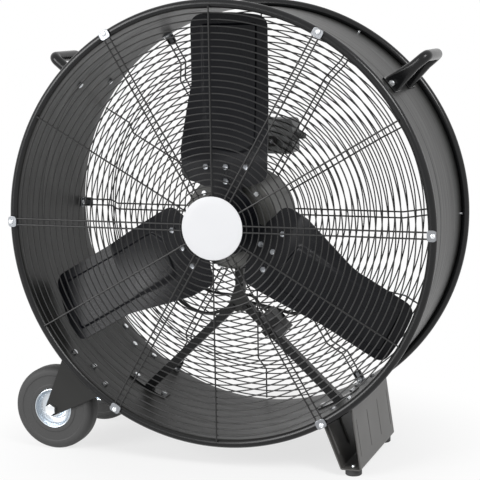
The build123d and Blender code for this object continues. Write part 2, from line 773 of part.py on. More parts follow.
# ---- Post: a cradle under the motor on a tube, with a gusset over the struts ----
motor_radius = motor_diameter / 2
cradle_inner = motor_radius + seat_gap
cradle_outer = cradle_inner + cradle_thickness
gusset_back = strut_depth - strut_size / 2 - seat_gap
gusset_holes = [(hand * strut_across * gusset_bolt_reach,
                 -apex_drop - strut_down * gusset_bolt_reach) for hand in (-1, 1)]
motor_bolt_places = [(270 + side * motor_bolt_angle, strut_depth + end * motor_bolt_pitch / 2)
                     for side in (-1, 1) for end in (-1, 1)]
with BuildPart() as motor_post:
    with BuildSketch(Plane.XY.offset(apex_z + post_gap)):
        with Locations((0, strut_depth)):
            Rectangle(strut_size, strut_size)
            Rectangle(strut_size - 2 * strut_wall, strut_size - 2 * strut_wall,
                      mode=Mode.SUBTRACT)
    extrude(amount=apex_drop - post_gap - cradle_inner - cradle_thickness / 2)
    with BuildSketch(front_view(gusset_back)):
        with Locations(*gusset_holes):
            Circle(gusset_end_radius)
        with Locations((0, gusset_rise - apex_drop)):
            Circle(gusset_end_radius)
        make_hull()
        with Locations(*gusset_holes):
            Circle(m6_shank / 2 + hole_gap, mode=Mode.SUBTRACT)
    extrude(amount=gusset_thickness)
    with BuildSketch(front_view(gusset_back)):
        with Locations((0, gusset_rise - apex_drop)):
            Circle(strut_size / 3)
    extrude(amount=-2 * seat_gap)
    with BuildSketch(front_view(strut_depth + cradle_depth / 2)):
        add(wall_sector(cradle_inner, cradle_outer, 270, cradle_half_angle))
    extrude(amount=cradle_depth)
    with BuildSketch(*[wall_plane(angle, depth, motor_radius)
                       for angle, depth in motor_bolt_places]):
        Circle(m6_shank / 2 + hole_gap)
    extrude(amount=2 * cradle_thickness, mode=Mode.SUBTRACT)
save(motor_post, "motor_post")

gusset_bolts = hex_bolts([Plane(origin=(across, gusset_back - gusset_thickness - seat_gap,
                                        axis_height + up), x_dir=(1, 0, 0), z_dir=(0, -1, 0))
                          for across, up in gusset_holes],
                         gusset_thickness + strut_size + 3 * seat_gap + m6_nut_height + thread_tail)
save(gusset_bolts, "gusset_bolts")

# ---- Nuts of all the bolts through the shell and through the gusset ----
m6_nuts = hex_nuts(
    [wall_plane(angle, depth, tab_nut_seat) for angle, depth in handle_bolt_places]
    + [wall_plane(angle, depth, bracket_nut_seat) for angle, depth in bracket_bolt_places]
    + [wall_plane(angle, depth, foot_nut_seat) for angle, depth in foot_bolt_places]
    + [wall_plane(angle, depth, shell_outer + seat_gap) for angle, depth in strut_bolt_places]
    + [Plane(origin=(across, strut_depth + strut_size / 2 + seat_gap, axis_height + up),
             x_dir=(1, 0, 0), z_dir=(0, 1, 0)) for across, up in gusset_holes])
save(m6_nuts, "m6_nuts")

motor_bolts = hex_bolts([wall_plane(angle, depth, cradle_outer + seat_gap)
                         for angle, depth in motor_bolt_places],
                        cradle_thickness + motor_bolt_bite)
save(motor_bolts, "motor_bolts")

# ---- Motor: a tube with an end bell on each end, the shaft running out to the front ----
housing_front = motor_front + bell_height
housing_rear = motor_rear - bell_height
housing_inner = motor_radius - motor_wall
motor_middle = (motor_front + motor_rear) / 2
shaft_radius = shaft_diameter / 2
with BuildPart() as motor_housing:
    with BuildSketch(front_view(housing_rear)):
        Circle(motor_radius)
        Circle(housing_inner, mode=Mode.SUBTRACT)
    extrude(amount=housing_rear - housing_front)
    with BuildSketch(*[wall_plane(angle, boss_depth, motor_radius - motor_wall / 2)
                       for angle in boss_angles]):
        Circle(lead_boss_diameter / 2)
    extrude(amount=motor_wall / 2 + lead_boss_length)
    with BuildSketch(*[wall_plane(angle, boss_depth, motor_radius)
                       for angle in boss_angles]):
        Circle(lead_diameter / 2 + seat_gap)
    extrude(amount=lead_boss_length, mode=Mode.SUBTRACT)
    with BuildSketch(*[wall_plane(angle, depth, motor_radius + 1)
                       for angle, depth in motor_bolt_places]):
        Circle(m6_shank / 2 + hole_gap)
    extrude(amount=-motor_bolt_bite - 1.5, mode=Mode.SUBTRACT)
save(motor_housing, "motor_housing")

bell_ends = (("front", housing_front, -1), ("rear", housing_rear, 1))
bearing_outside = bell_height + boss_proud - bearing_lip - seat_gap
bearing_radius = bearing_diameter / 2
for name, joint, side in bell_ends:
    opening = shaft_radius + shaft_hole_gap if side < 0 else 0.0
    with BuildPart() as bell:
        with BuildSketch(section) as profile:
            with Locations((joint + side * bell_height / 2, motor_radius - motor_wall / 2)):
                Rectangle(bell_height - 2 * seat_gap, motor_wall)
            with Locations((joint + side * (bell_height - bell_plate / 2),
                            (motor_radius + boss_radius) / 2)):
                Rectangle(bell_plate - 2 * seat_gap, motor_radius - boss_radius)
            corner = (joint + side * (bell_height - seat_gap), motor_radius)
            fillet(profile.vertices().sort_by_distance(corner)[0], bell_corner)
            with Locations((joint + side * (bell_height + boss_proud - boss_depth_inside / 2
                                            - bearing_lip / 2),
                            (bearing_radius + running_gap + boss_radius) / 2)):
                Rectangle(boss_depth_inside + bearing_lip,
                          boss_radius - bearing_radius - running_gap)
            with Locations((joint + side * (bell_height + boss_proud - bearing_lip / 2),
                            (opening + boss_radius) / 2)):
                Rectangle(bearing_lip, boss_radius - opening)
        revolve(axis=drum_axis)
        with BuildSketch(front_view(joint + side * (bell_height + bell_plate))):
            with PolarLocations(through_bolt_radius, through_bolt_count, 45):
                Circle(through_bolt_shank / 2 + hole_gap)
        extrude(amount=side * 2 * bell_plate, mode=Mode.SUBTRACT)
    save(bell, f"{name}_end_bell")

with BuildPart() as bearings:
    for name, joint, side in bell_ends:
        with BuildSketch(section):
            with Locations((joint + side * (bearing_outside - bearing_width / 2),
                            (shaft_radius + running_gap + bearing_radius) / 2)):
                Rectangle(bearing_width, bearing_radius - shaft_radius - running_gap)
        revolve(axis=drum_axis)
save(bearings, "bearings")

stator_outer = housing_inner - running_gap
with BuildPart() as stator:
    with BuildSketch(front_view(motor_middle + stator_length / 2)):
        Circle(stator_outer)
        Circle(stator_bore / 2, mode=Mode.SUBTRACT)
        with PolarLocations((stator_bore + stator_slot_depth - stator_slot_width) / 2, stator_slots):
            Rectangle(stator_slot_depth + stator_slot_width, stator_slot_width, mode=Mode.SUBTRACT)
        with PolarLocations(through_bolt_radius, through_bolt_count, 45):
            Circle(through_bolt_shank / 2 + hole_gap, mode=Mode.SUBTRACT)
    extrude(amount=stator_length)
save(stator, "stator")

with BuildPart() as windings:
    with BuildSketch(section):
        for side in (-1, 1):
            with Locations((motor_middle + side * (stator_length + winding_reach + seat_gap) / 2,
                            (winding_inner + winding_outer) / 2)):
                RectangleRounded(winding_reach - seat_gap, winding_outer - winding_inner,
                                 winding_reach / 3)
    revolve(axis=drum_axis)
save(windings, "windings")

through_head_seat = motor_front - seat_gap
through_nut_seat = motor_rear + seat_gap
with BuildPart() as through_bolts:
    with BuildSketch(front_view(through_head_seat)):
        with PolarLocations(through_bolt_radius, through_bolt_count, 45):
            RegularPolygon(through_bolt_across / 2, 6, major_radius=False)
    extrude(amount=through_bolt_head)
    with BuildSketch(front_view(through_head_seat)):
        with PolarLocations(through_bolt_radius, through_bolt_count, 45):
            Circle(through_bolt_shank / 2)
    extrude(amount=through_head_seat - through_nut_seat - through_bolt_shank)
    with BuildSketch(front_view(through_nut_seat)):
        with PolarLocations(through_bolt_radius, through_bolt_count, 45):
            RegularPolygon(through_bolt_across / 2, 6, major_radius=False)
    extrude(amount=-through_bolt_head)
save(through_bolts, "through_bolts")

# ---- Rotor: shaft, core and the hub spider behind the blades ----
shaft_front = blade_depth - shaft_front_reach
shaft_rear = housing_rear + bearing_outside - seat_gap
with BuildPart() as motor_shaft:
    with BuildSketch(front_view(shaft_rear)):
        Circle(shaft_radius)
    extrude(amount=shaft_rear - shaft_front)
    chamfer(motor_shaft.edges().filter_by(GeomType.CIRCLE), shaft_hole_gap)
save(motor_shaft, "motor_shaft")

with BuildPart() as rotor_core:
    with BuildSketch(front_view(motor_middle + stator_length / 2)):
        Circle(stator_bore / 2 - air_gap)
        Circle(shaft_radius + running_gap, mode=Mode.SUBTRACT)
    extrude(amount=stator_length)
save(rotor_core, "rotor_core")

blade_angles = [90 + index * 360 / blade_count for index in range(blade_count)]
blade_bolt_spots = ((blade_bolt_radius, blade_bolt_spread), (blade_bolt_radius, -blade_bolt_spread),
                    (blade_bolt_radius, 0.0), (blade_inner_bolt_radius, 0.0))
spider_front = blade_depth + blade_thickness / 2 + seat_gap
spider_rear = spider_front + spider_thickness
hub_rear = motor_front - boss_proud - hub_gap
with BuildPart() as hub_spider:
    with BuildSketch(front_view(spider_rear)):
        Circle(spider_radius)
    extrude(amount=spider_thickness)
    with BuildSketch(*[face_plane(angle, spider_arm_middle, spider_rear)
                       for angle in blade_angles]):
        RectangleRounded(spider_arm_length, spider_arm_width, spider_corner)
    extrude(amount=spider_thickness)
    with BuildSketch(*[face_plane(angle, (spider_radius + spider_arm_middle) / 2, spider_rear)
                       for angle in blade_angles]):
        Rectangle(spider_arm_middle - spider_radius / 2, spider_radius)
    extrude(amount=spider_thickness)
    with BuildSketch(front_view(hub_rear)):
        Circle(hub_radius)
    extrude(amount=hub_rear - spider_rear)
    with BuildSketch(front_view(hub_rear + hub_gap)):
        Circle(shaft_radius + running_gap)
    extrude(amount=2 * (hub_rear - spider_front), mode=Mode.SUBTRACT)
    with BuildSketch(*[face_plane(angle, radius, spider_rear + 1, shift)
                       for angle in blade_angles for radius, shift in blade_bolt_spots]):
        Circle(m6_shank / 2 + hole_gap)
    extrude(amount=2 * spider_thickness, mode=Mode.SUBTRACT)
save(hub_spider, "hub_spider")

# ---- Blades: flat at the root, twisting so that the counter-clockwise edge comes forward ----
blade_width = 2 * (blade_leading_root + blade_trailing)
tip_radius = blade_diameter / 2
for index, angle in enumerate(blade_angles):
    with BuildPart() as blade:
        for radius in (blade_root - blade_thickness, twist_start, twist_end,
                       tip_radius + blade_thickness):
            turn = min(max((radius - twist_start) / (twist_end - twist_start), 0.0), 1.0)
            with BuildSketch(wall_plane(angle, blade_depth, radius)):
                Rectangle(blade_thickness, blade_width, rotation=turn * blade_pitch)
        loft(ruled=True)
        with BuildSketch(face_plane(angle, 0.0, blade_depth)) as outline:
            Polygon((blade_root, blade_root_width / 2), (blade_neck, blade_neck_width / 2),
                    (blade_shoulder, blade_leading_root), (blade_shoulder_end, blade_leading_root),
                    (blade_waist, blade_leading), (2 * tip_radius, blade_leading),
                    (2 * tip_radius, -blade_trailing), (blade_shoulder, -blade_trailing),
                    (blade_neck, -blade_neck_width / 2), (blade_root, -blade_root_width / 2),
                    align=None)
            fillet(outline.vertices().filter_by(lambda corner: corner.X < tip_radius), root_corner)
            Circle(tip_radius, mode=Mode.INTERSECT)
            fillet(outline.vertices().sort_by_distance((0, 0))[-2:], tip_corner)
        extrude(amount=-blade_depth, both=True, mode=Mode.INTERSECT)
        with BuildSketch(*[face_plane(angle, radius, blade_depth, shift)
                           for radius, shift in blade_bolt_spots]):
            Circle(m6_shank / 2 + hole_gap)
        extrude(amount=2 * blade_thickness, both=True, mode=Mode.SUBTRACT)
    save(blade, f"blade_{index + 1}")

blade_head_seat = blade_depth - blade_thickness / 2 - seat_gap
blade_nut_seat = spider_rear + seat_gap
blade_bolts = hex_bolts([face_plane(angle, radius, blade_head_seat, shift)
                         for angle in blade_angles for radius, shift in blade_bolt_spots],
                        blade_nut_seat + m6_nut_height + thread_tail - blade_head_seat)
save(blade_bolts, "blade_bolts")
blade_nuts = hex_nuts([face_plane(angle, radius, blade_nut_seat, -shift, forward=False)
                       for angle in blade_angles for radius, shift in blade_bolt_spots])
save(blade_nuts, "blade_nuts")

# ---- Capacitor, strapped on top of the right strut ----
capacitor_lift = strut_size / 2 + seat_gap + capacitor_thickness / 2
with BuildPart() as capacitor:
    with BuildSketch(strut_plane(1, capacitor_reach - capacitor_length / 2)):
        with Locations((0, capacitor_lift)):
            RectangleRounded(capacitor_depth, capacitor_thickness, strap_thickness)
    extrude(amount=capacitor_length)
save(capacitor, "capacitor")

with BuildPart() as capacitor_clamp:
    with BuildSketch(strut_plane(1, capacitor_reach - strap_width / 2)):
        with Locations((0, capacitor_thickness / 2)):
            Rectangle(capacitor_depth + 2 * strap_thickness + 2 * seat_gap,
                      strut_size + capacitor_thickness + 2 * strap_thickness + 3 * seat_gap)
            Rectangle(capacitor_depth + 2 * seat_gap,
                      strut_size + capacitor_thickness + 3 * seat_gap, mode=Mode.SUBTRACT)
    extrude(amount=strap_width)
save(capacitor_clamp, "capacitor_clamp")

# ---- Control box behind the rear guard, held by a plate in front of the rings ----
box_x, box_rise = box_center
box_front = rear_spoke_depth + spoke_wire / 2 + seat_gap
box_rear = box_front + box_depth - cover_thickness
clamp_radius = first_ring_radius + clamp_ring_gap * ring_pitch
clamp_spots = [(clamp_radius * cos(radians(90 + side * clamp_screw_angle)),
                clamp_radius * sin(radians(90 + side * clamp_screw_angle))) for side in (-1, 1)]
cover_spots = [(box_x + across * (box_width / 2 - cover_screw_inset),
                box_rise + up * (box_height / 2 - cover_screw_inset))
               for across in (-1, 1) for up in (-1, 1)]
box_middle = (box_front + box_rear) / 2
gland_bore_radius = lead_diameter / 2 + seat_gap
box_side = box_x + box_width / 2
box_floor = axis_height + box_rise - box_height / 2
gland_planes = [Plane(origin=(box_side, box_middle, axis_height + box_rise),
                      x_dir=(0, 1, 0), z_dir=(1, 0, 0)),
                Plane(origin=(box_x - gland_pitch, box_middle, box_floor),
                      x_dir=(0, 1, 0), z_dir=(0, 0, -1))]
with BuildPart() as control_box:
    with BuildSketch(front_view(box_rear)):
        with Locations(box_center):
            RectangleRounded(box_width, box_height, box_corner)
    extrude(amount=box_rear - box_front)
    with BuildSketch(front_view(box_rear)):
        with Locations(box_center):
            RectangleRounded(box_width - 2 * box_wall, box_height - 2 * box_wall,
                             box_corner - box_wall)
    extrude(amount=box_rear - box_front - box_wall, mode=Mode.SUBTRACT)
    with BuildSketch(front_view(box_rear)):
        with Locations(*cover_spots):
            Circle(m4_head / 2)
    extrude(amount=box_rear - box_front - box_wall / 2)
    with BuildSketch(front_view(box_rear)):
        with Locations(*cover_spots):
            Circle(m4_shank / 2 + hole_gap)
    extrude(amount=m4_grip, mode=Mode.SUBTRACT)
    with BuildSketch(front_view(box_front)):
        with Locations((box_x + knockout_offset, box_rise)):
            Circle(knockout_diameter / 2)
            Circle(knockout_diameter / 2 - box_wall, mode=Mode.SUBTRACT)
        with Locations(*clamp_spots):
            Circle(m4_shank / 2 + hole_gap)
    extrude(amount=-knockout_cut, mode=Mode.SUBTRACT)
    with BuildSketch(front_view(box_front)):
        with Locations(*clamp_spots):
            Circle(m4_shank / 2 + hole_gap)
    extrude(amount=-2 * box_wall, mode=Mode.SUBTRACT)
    with BuildSketch(*gland_planes):
        Circle(lead_diameter)
    extrude(amount=-2 * box_wall, mode=Mode.SUBTRACT)
save(control_box, "control_box")

with BuildPart() as cable_glands:
    with BuildSketch(*gland_planes):
        Circle(lead_diameter - running_gap)
    extrude(amount=-3 * box_wall)
    with BuildSketch(*[plane.offset(seat_gap) for plane in gland_planes]):
        RegularPolygon(gland_across / 2, 6, major_radius=False)
    extrude(amount=gland_nut)
    with BuildSketch(*[plane.offset(seat_gap) for plane in gland_planes]):
        Circle(lead_diameter)
    extrude(amount=-seat_gap)
    with BuildSketch(*[plane.offset(seat_gap + gland_nut) for plane in gland_planes]):
        Circle(lead_diameter)
    extrude(amount=gland_dome, taper=gland_nut / 2)
    with BuildSketch(*[plane.offset(-4 * box_wall) for plane in gland_planes]):
        Circle(gland_bore_radius)
    extrude(amount=4 * gland_dome, mode=Mode.SUBTRACT)
save(cable_glands, "cable_glands")

with BuildPart() as control_box_cover:
    with BuildSketch(front_view(box_rear + cover_thickness)):
        with Locations(box_center):
            RectangleRounded(box_width, box_height, box_corner)
            Circle(knob_spindle / 2 + shaft_hole_gap, mode=Mode.SUBTRACT)
        with Locations(*cover_spots):
            Circle(m4_shank / 2 + hole_gap, mode=Mode.SUBTRACT)
    extrude(amount=cover_thickness - seat_gap)
save(control_box_cover, "control_box_cover")

switch_rear = box_rear - seat_gap
with BuildPart() as rotary_switch:
    with BuildSketch(front_view(switch_rear)):
        with Locations(box_center):
            RectangleRounded(switch_size, switch_size, box_wall)
    extrude(amount=switch_depth)
    with BuildSketch(front_view(switch_rear)):
        with Locations(box_center):
            Circle(knob_spindle / 2 + running_gap)
    extrude(amount=knob_spindle_length, mode=Mode.SUBTRACT)
save(rotary_switch, "rotary_switch")

knob_front = box_rear + cover_thickness + knob_gap
knob_base = knob_height / 3
with BuildPart() as speed_knob:
    with BuildSketch(front_view(knob_front + knob_base)):
        with Locations(box_center):
            Circle(knob_diameter / 2)
    extrude(amount=knob_base)
    with BuildSketch(front_view(knob_front + knob_height)):
        with Locations(box_center):
            RectangleRounded(knob_finger_width, knob_diameter - 2 * box_wall, box_wall)
    extrude(amount=knob_height - knob_base / 2)
    with BuildSketch(front_view(knob_front)):
        with Locations(box_center):
            Circle(knob_spindle / 2)
    extrude(amount=knob_spindle_length)
save(speed_knob, "speed_knob")

clamp_rear = rear_ring_depth - ring_wire / 2 - seat_gap
with BuildPart() as control_bracket:
    with BuildSketch(front_view(clamp_rear)):
        with Locations((0, (clamp_spots[0][1] + clamp_spots[1][1]) / 2)):
            RectangleRounded(2 * (clamp_spots[0][0] + clamp_plate_edge), clamp_plate_height,
                             clamp_plate_edge / 2)
        with Locations(*clamp_spots):
            Circle(m4_shank / 2 + hole_gap, mode=Mode.SUBTRACT)
    extrude(amount=clamp_plate_thickness)
save(control_bracket, "control_bracket")

control_screws = pan_screws(
    [Plane(origin=(across, box_rear + cover_thickness + seat_gap, axis_height + up),
           x_dir=(1, 0, 0), z_dir=(0, 1, 0)) for across, up in cover_spots]
    + [Plane(origin=(across, clamp_rear - clamp_plate_thickness - seat_gap, axis_height + up),
             x_dir=(1, 0, 0), z_dir=(0, -1, 0)) for across, up in clamp_spots],
    box_front + box_wall - clamp_rear + clamp_plate_thickness)
save(control_screws, "control_screws")


# ---- Leads: from the control box round the rear guard to the motor, and to the capacitor ----
def lead(points, diameter):
    """A round lead along points, each corner an arc as large as its two runs allow."""
    radii = []
    for before, corner, after in zip(points, points[1:], points[2:]):
        into = Vector(corner) - Vector(before)
        away = Vector(after) - Vector(corner)
        shorter = min(into.length, away.length)
        radii.append(0.45 * shorter / tan(radians(into.get_angle(away)) / 2))
    with BuildPart() as tube:
        with BuildLine() as run:
            FilletPolyline(*points, radius=radii)
        with BuildSketch(Plane(origin=run.line @ 0, z_dir=run.line % 0)):
            Circle(diameter / 2)
        sweep(path=run.line)
    section_volume = pi * diameter**2 / 4 * sum(edge.length for edge in run.edges())
    print("lead radii", [round(radius, 1) for radius in radii],
          "volume", round(tube.part.volume / section_volume, 4))
    return tube


def from_axis(*points):
    """Points whose heights are given from the drum's axis."""
    return [(across, depth, axis_height + up) for across, depth, up in points]


def boss_point(angle, reach):
    """A point on the line of one of the motor's lead bosses."""
    return (reach * cos(radians(angle)), boss_depth, axis_height + reach * sin(radians(angle)))


gland_spot = gland_planes[1].origin
motor_lead = lead(from_axis(
    (gland_spot.X, gland_spot.Y, gland_spot.Z - axis_height - gland_nut / 2),
    (gland_spot.X, gland_spot.Y, 72.0), (6.0, 105.0, 48.0), (42.0, 100.0, 42.0),
    (*clip_spot, 22.0), (*clip_spot, -30.0), (86.0, 104.0, -70.0), (114.0, 110.0, -112.0),
    (146.0, 110.0, -153.0), (146.0, 64.0, -153.0), (137.0, 30.0, -168.0),
    (104.0, 17.0, -187.0), (60.0, 16.0, -176.0), (15.0, 14.0, -167.0), (-9.0, 14.0, -163.0),
    (-40.0, 14.0, -183.0), (-77.0, 14.0, -195.0), (-117.0, 14.0, -181.0), (-138.0, 14.0, -165.0),
    (-155.0, 14.0, -137.0), (-150.0, 14.0, -105.0))
    + [boss_point(boss_angles[0], 148.0), boss_point(boss_angles[0], motor_radius + 1)],
    lead_diameter)
save(motor_lead, "motor_lead")

cap_end = strut_plane(1, capacitor_reach - capacitor_length / 2 - seat_gap)
cap_point = cap_end.from_local_coords((0, capacitor_lift, 0))
cap_away = cap_end.from_local_coords((0, capacitor_lift, -22.0))
capacitor_lead = lead(
    [boss_point(boss_angles[1], motor_radius + 1), boss_point(boss_angles[1], 130.0)]
    + from_axis((-97.0, 14.0, -120.0), (-92.0, 14.0, -141.0), (-57.0, 14.0, -152.0),
                (-9.0, 14.0, -153.0), (18.0, 8.0, -150.0))
    + [tuple(cap_away), tuple(cap_point)], capacitor_lead_diameter)
save(capacitor_lead, "capacitor_lead")

# ---- Clip that holds the lead to the pair of spokes on the right ----
clip_outer = lead_clip_bore / 2 + lead_clip_wall
with BuildPart() as lead_clip:
    with BuildSketch(Plane.XY.offset(axis_height - lead_clip_width / 2)):
        with Locations(clip_spot):
            Circle(clip_outer)
        with Locations((clip_spot[0], (box_front + clip_spot[1]) / 2)):
            Rectangle(2 * clip_outer, clip_spot[1] - box_front)
        with Locations(clip_spot):
            Circle(lead_clip_bore / 2, mode=Mode.SUBTRACT)
    extrude(amount=lead_clip_width)
save(lead_clip, "lead_clip")
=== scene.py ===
import json
import math
import bpy
import numpy as np
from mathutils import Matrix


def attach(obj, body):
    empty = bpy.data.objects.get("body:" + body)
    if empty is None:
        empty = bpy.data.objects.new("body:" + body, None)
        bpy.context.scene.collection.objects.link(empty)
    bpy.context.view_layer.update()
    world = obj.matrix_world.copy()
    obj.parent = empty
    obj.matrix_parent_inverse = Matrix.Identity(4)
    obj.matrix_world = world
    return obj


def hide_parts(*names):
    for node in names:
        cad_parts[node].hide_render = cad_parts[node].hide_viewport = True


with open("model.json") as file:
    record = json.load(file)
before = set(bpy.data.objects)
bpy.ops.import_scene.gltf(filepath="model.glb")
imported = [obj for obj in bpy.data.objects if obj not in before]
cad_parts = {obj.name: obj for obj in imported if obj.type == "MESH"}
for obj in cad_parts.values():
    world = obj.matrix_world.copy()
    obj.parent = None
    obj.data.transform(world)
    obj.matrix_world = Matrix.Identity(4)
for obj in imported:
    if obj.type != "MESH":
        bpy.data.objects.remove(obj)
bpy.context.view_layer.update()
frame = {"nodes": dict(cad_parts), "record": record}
nodes = frame["nodes"]
scene = bpy.context.scene
print("frame loaded:", len(nodes), "nodes")

# Sizes are in mm, and angles in degrees, counter-clockwise from +X as seen from the front.
# The drum's axis runs along Y at this height above the floor.
mm = 0.001
axisHeight = 443.0

# The camera stands where the photograph was taken from, its place in metres.
camera = {
    "place": (0.93081, -2.64297, 0.83725), "turn": (81.6153, 0.8712, 18.7116),
    "lens": 113.02, "sensor": 36.0, "shift": (-0.03258, -0.0287), "clipStart": 0.05,
}
cameraData = bpy.data.cameras.new("photoCamera")
cameraData.lens = camera["lens"]
cameraData.sensor_width = camera["sensor"]
cameraData.shift_x, cameraData.shift_y = camera["shift"]
cameraData.clip_start = camera["clipStart"]
cameraObject = bpy.data.objects.new("photoCamera", cameraData)
cameraObject.location = camera["place"]
cameraObject.rotation_euler = [math.radians(a) for a in camera["turn"]]
scene.collection.objects.link(cameraObject)
scene.camera = cameraObject


# Surfaces are worked out as arrays of points in mm, and meshPiece turns them into metres.
def closedPart(points, quads, ends=()):
    # A closed surface's quads and end faces, turned outwards by the sign of the volume
    # (a sixth of the sum of a . (b x c) over its triangles).
    points = np.asarray(points, float).reshape(-1, 3)
    quads = np.asarray(quads, int).reshape(-1, 4)
    fans = [np.stack([np.full(len(e) - 2, e[0]), e[1:-1], e[2:]], -1) for e in ends]
    corners = np.concatenate([quads[:, [0, 1, 2]], quads[:, [0, 2, 3]], *fans])
    a, b, c = points[corners[:, 0]], points[corners[:, 1]], points[corners[:, 2]]
    if (a * np.cross(b, c)).sum() < 0:
        quads, ends = quads[:, ::-1], [e[::-1] for e in ends]
    return points, quads.tolist() + [np.asarray(e).tolist() for e in ends]


def gridQuads(rows, columns, closeRows=False, closeColumns=False):
    # Quads of a grid of points, wrapped round where a side is closed.
    i = np.arange(rows if closeRows else rows - 1)[:, None]
    j = np.arange(columns if closeColumns else columns - 1)[None, :]
    i2, j2 = (i + 1) % rows, (j + 1) % columns
    return np.stack([i * columns + j, i2 * columns + j, i2 * columns + j2, i * columns + j2],
                    axis=-1).reshape(-1, 4)


def meshPiece(name, parts, material, body, node, angle=35):
    # One object from closed parts; edges sharper than the angle stay crisp.
    points, faces, start = [], [], 0
    for partPoints, partFaces in parts:
        points.append(partPoints)
        faces += [[i + start for i in face] for face in partFaces]
        start += len(partPoints)
    mesh = bpy.data.meshes.new(name)
    mesh.from_pydata((np.concatenate(points) * mm).tolist(), [], faces)
    mesh.materials.append(material)
    mesh.polygons.foreach_set("use_smooth", np.ones(len(mesh.polygons), bool))
    mesh.set_sharp_from_angle(angle=math.radians(angle))
    piece = bpy.data.objects.new(name, mesh)
    scene.collection.objects.link(piece)
    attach(piece, body)
    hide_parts(node)
    return piece


def onDrum(angle, radius, depth, across=0.0):
    # A point at an angle a and radius r from the drum's axis, moved across by t along the tangent:
    # x = r cos a - t sin a, y = depth, z = axis height + r sin a + t cos a.
    turn = np.radians(angle)
    radius, depth, across, turn = np.broadcast_arrays(radius, depth, across, turn)
    return np.stack([radius * np.cos(turn) - across * np.sin(turn), depth,
                     axisHeight + radius * np.sin(turn) + across * np.cos(turn)], -1)


def onWall(angle, radius, depth, along=0.0):
    # The same, but moved along the wall itself: the angle grows by along / radius.
    return onDrum(angle + np.degrees(np.asarray(along) / np.asarray(radius)), radius, depth)


def tangentAt(angle):
    # The direction along the drum's wall at an angle: (-sin a, 0, cos a).
    turn = math.radians(angle)
    return np.array([-math.sin(turn), 0.0, math.cos(turn)])


def arc(centre, radius, start, end, count):
    # Points along an arc in a plane: centre + radius x (cos a, sin a) from a start to an end angle.
    turn = np.radians(np.linspace(start, end, count))
    return np.stack([centre[0] + radius * np.cos(turn), centre[1] + radius * np.sin(turn)], -1)


def circle(radius, count=8):
    # A round section: an arc that stops one step before it closes.
    return arc((0, 0), radius, 0, 360 * (count - 1) / count, count)


def rounded(corners, radii, closed=True, steps=6):
    # A line through corners, each corner replaced by an arc of its radius tangent to both runs.
    corners = np.asarray(corners, float)
    radii = np.broadcast_to(radii, len(corners))
    line = []
    for k, (corner, radius) in enumerate(zip(corners, radii)):
        if radius == 0 or (not closed and k in (0, len(corners) - 1)):
            line.append(corner[None])
            continue
        back = corners[k - 1] - corner
        ahead = corners[(k + 1) % len(corners)] - corner
        back, ahead = back / np.linalg.norm(back), ahead / np.linalg.norm(ahead)
        half = math.acos(np.clip(back @ ahead, -1, 1)) / 2
        bisector = (back + ahead) / np.linalg.norm(back + ahead)
        middle = corner + bisector * radius / math.sin(half)
        start = corner + back * radius / math.tan(half) - middle
        end = corner + ahead * radius / math.tan(half) - middle
        full = math.pi - 2 * half
        t = np.linspace(0, 1, steps + 1)[:, None]
        swing = np.sin((1 - t) * full) * start + np.sin(t * full) * end
        line.append(middle + swing / math.sin(full))
    return np.concatenate(line)


def squareRound(across, up, corner):
    # A rectangle's outline with round corners, from its half sizes.
    return rounded([(across, up), (-across, up), (-across, -up), (across, -up)], corner)


def drawnIn(outline, inset):
    # A closed outline moved inwards by the inset along the mitre of its neighbouring edges' normals;
    # the sign of its area says which side is inside.
    edge = np.roll(outline, -1, 0) - outline
    normal = np.stack([-edge[:, 1], edge[:, 0]], -1) / np.linalg.norm(edge, axis=1)[:, None]
    before = np.roll(normal, 1, 0)
    x, y = outline.T
    area = (x * np.roll(y, -1) - y * np.roll(x, -1)).sum()
    mitre = (normal + before) / (1 + (normal * before).sum(1))[:, None]
    return outline + math.copysign(inset, area) * mitre if inset else outline


def slab(outline, rows, place):
    # An outline drawn in by each row's first number at its second number of height, ends closed;
    # place turns (a, b, height) into points.
    layers = [drawnIn(np.asarray(outline, float), inset) for inset, height in rows]
    points = np.concatenate([place(o[:, 0], o[:, 1], np.full(len(o), height))
                             for o, (inset, height) in zip(layers, rows)])
    n = len(outline)
    ends = [np.arange(n)[::-1], np.arange(n) + n * (len(rows) - 1)]
    return closedPart(points, gridQuads(len(rows), n, False, True), ends)


def edgeRows(low, high, soft):
    # Rows of a slab between two heights, each edge rounded over through three points of an arc.
    cut = soft * 0.29                                       # 1 - cos 45
    return [(soft, low), (cut, low + cut), (0, low + soft),
            (0, high - soft), (cut, high - cut), (soft, high)]


def turned(profile, count, centre=(0.0, axisHeight), solid=False):
    # A profile of (depth, radius) carried round an axis along Y: x = radius cos a, y = depth,
    # z = radius sin a from the centre. It closes on itself, or is solid with a face at each end.
    depth, radius = np.asarray(profile, float).T
    turn = np.linspace(0, 2 * np.pi, count, endpoint=False)[:, None]
    points = np.stack([centre[0] + radius * np.cos(turn), depth + 0 * turn,
                       centre[1] + radius * np.sin(turn)], -1)
    n = len(depth)
    ends = [np.arange(count) * n, np.arange(count) * n + n - 1] if solid else []
    return closedPart(points, gridQuads(count, n, True, not solid), ends)


def carried(path, section, up):
    # A section of (across, upward) points, one or one per path point, carried along a path:
    # point = path + across x side + upward x top, side = tangent x up and top = side x tangent.
    path = np.asarray(path, float)
    tangent = np.gradient(path, axis=0)
    tangent /= np.linalg.norm(tangent, axis=1)[:, None]
    side = np.cross(tangent, np.broadcast_to(up, path.shape))
    side /= np.linalg.norm(side, axis=1)[:, None]
    top = np.cross(side, tangent)
    section = np.broadcast_to(section, (len(path),) + np.shape(section)[-2:])
    points = path[:, None] + section[..., :1] * side[:, None] + section[..., 1:] * top[:, None]
    n = section.shape[1]
    ends = [np.arange(n), np.arange(n) + n * (len(path) - 1)]
    return closedPart(points, gridQuads(len(path), n, False, True), ends)


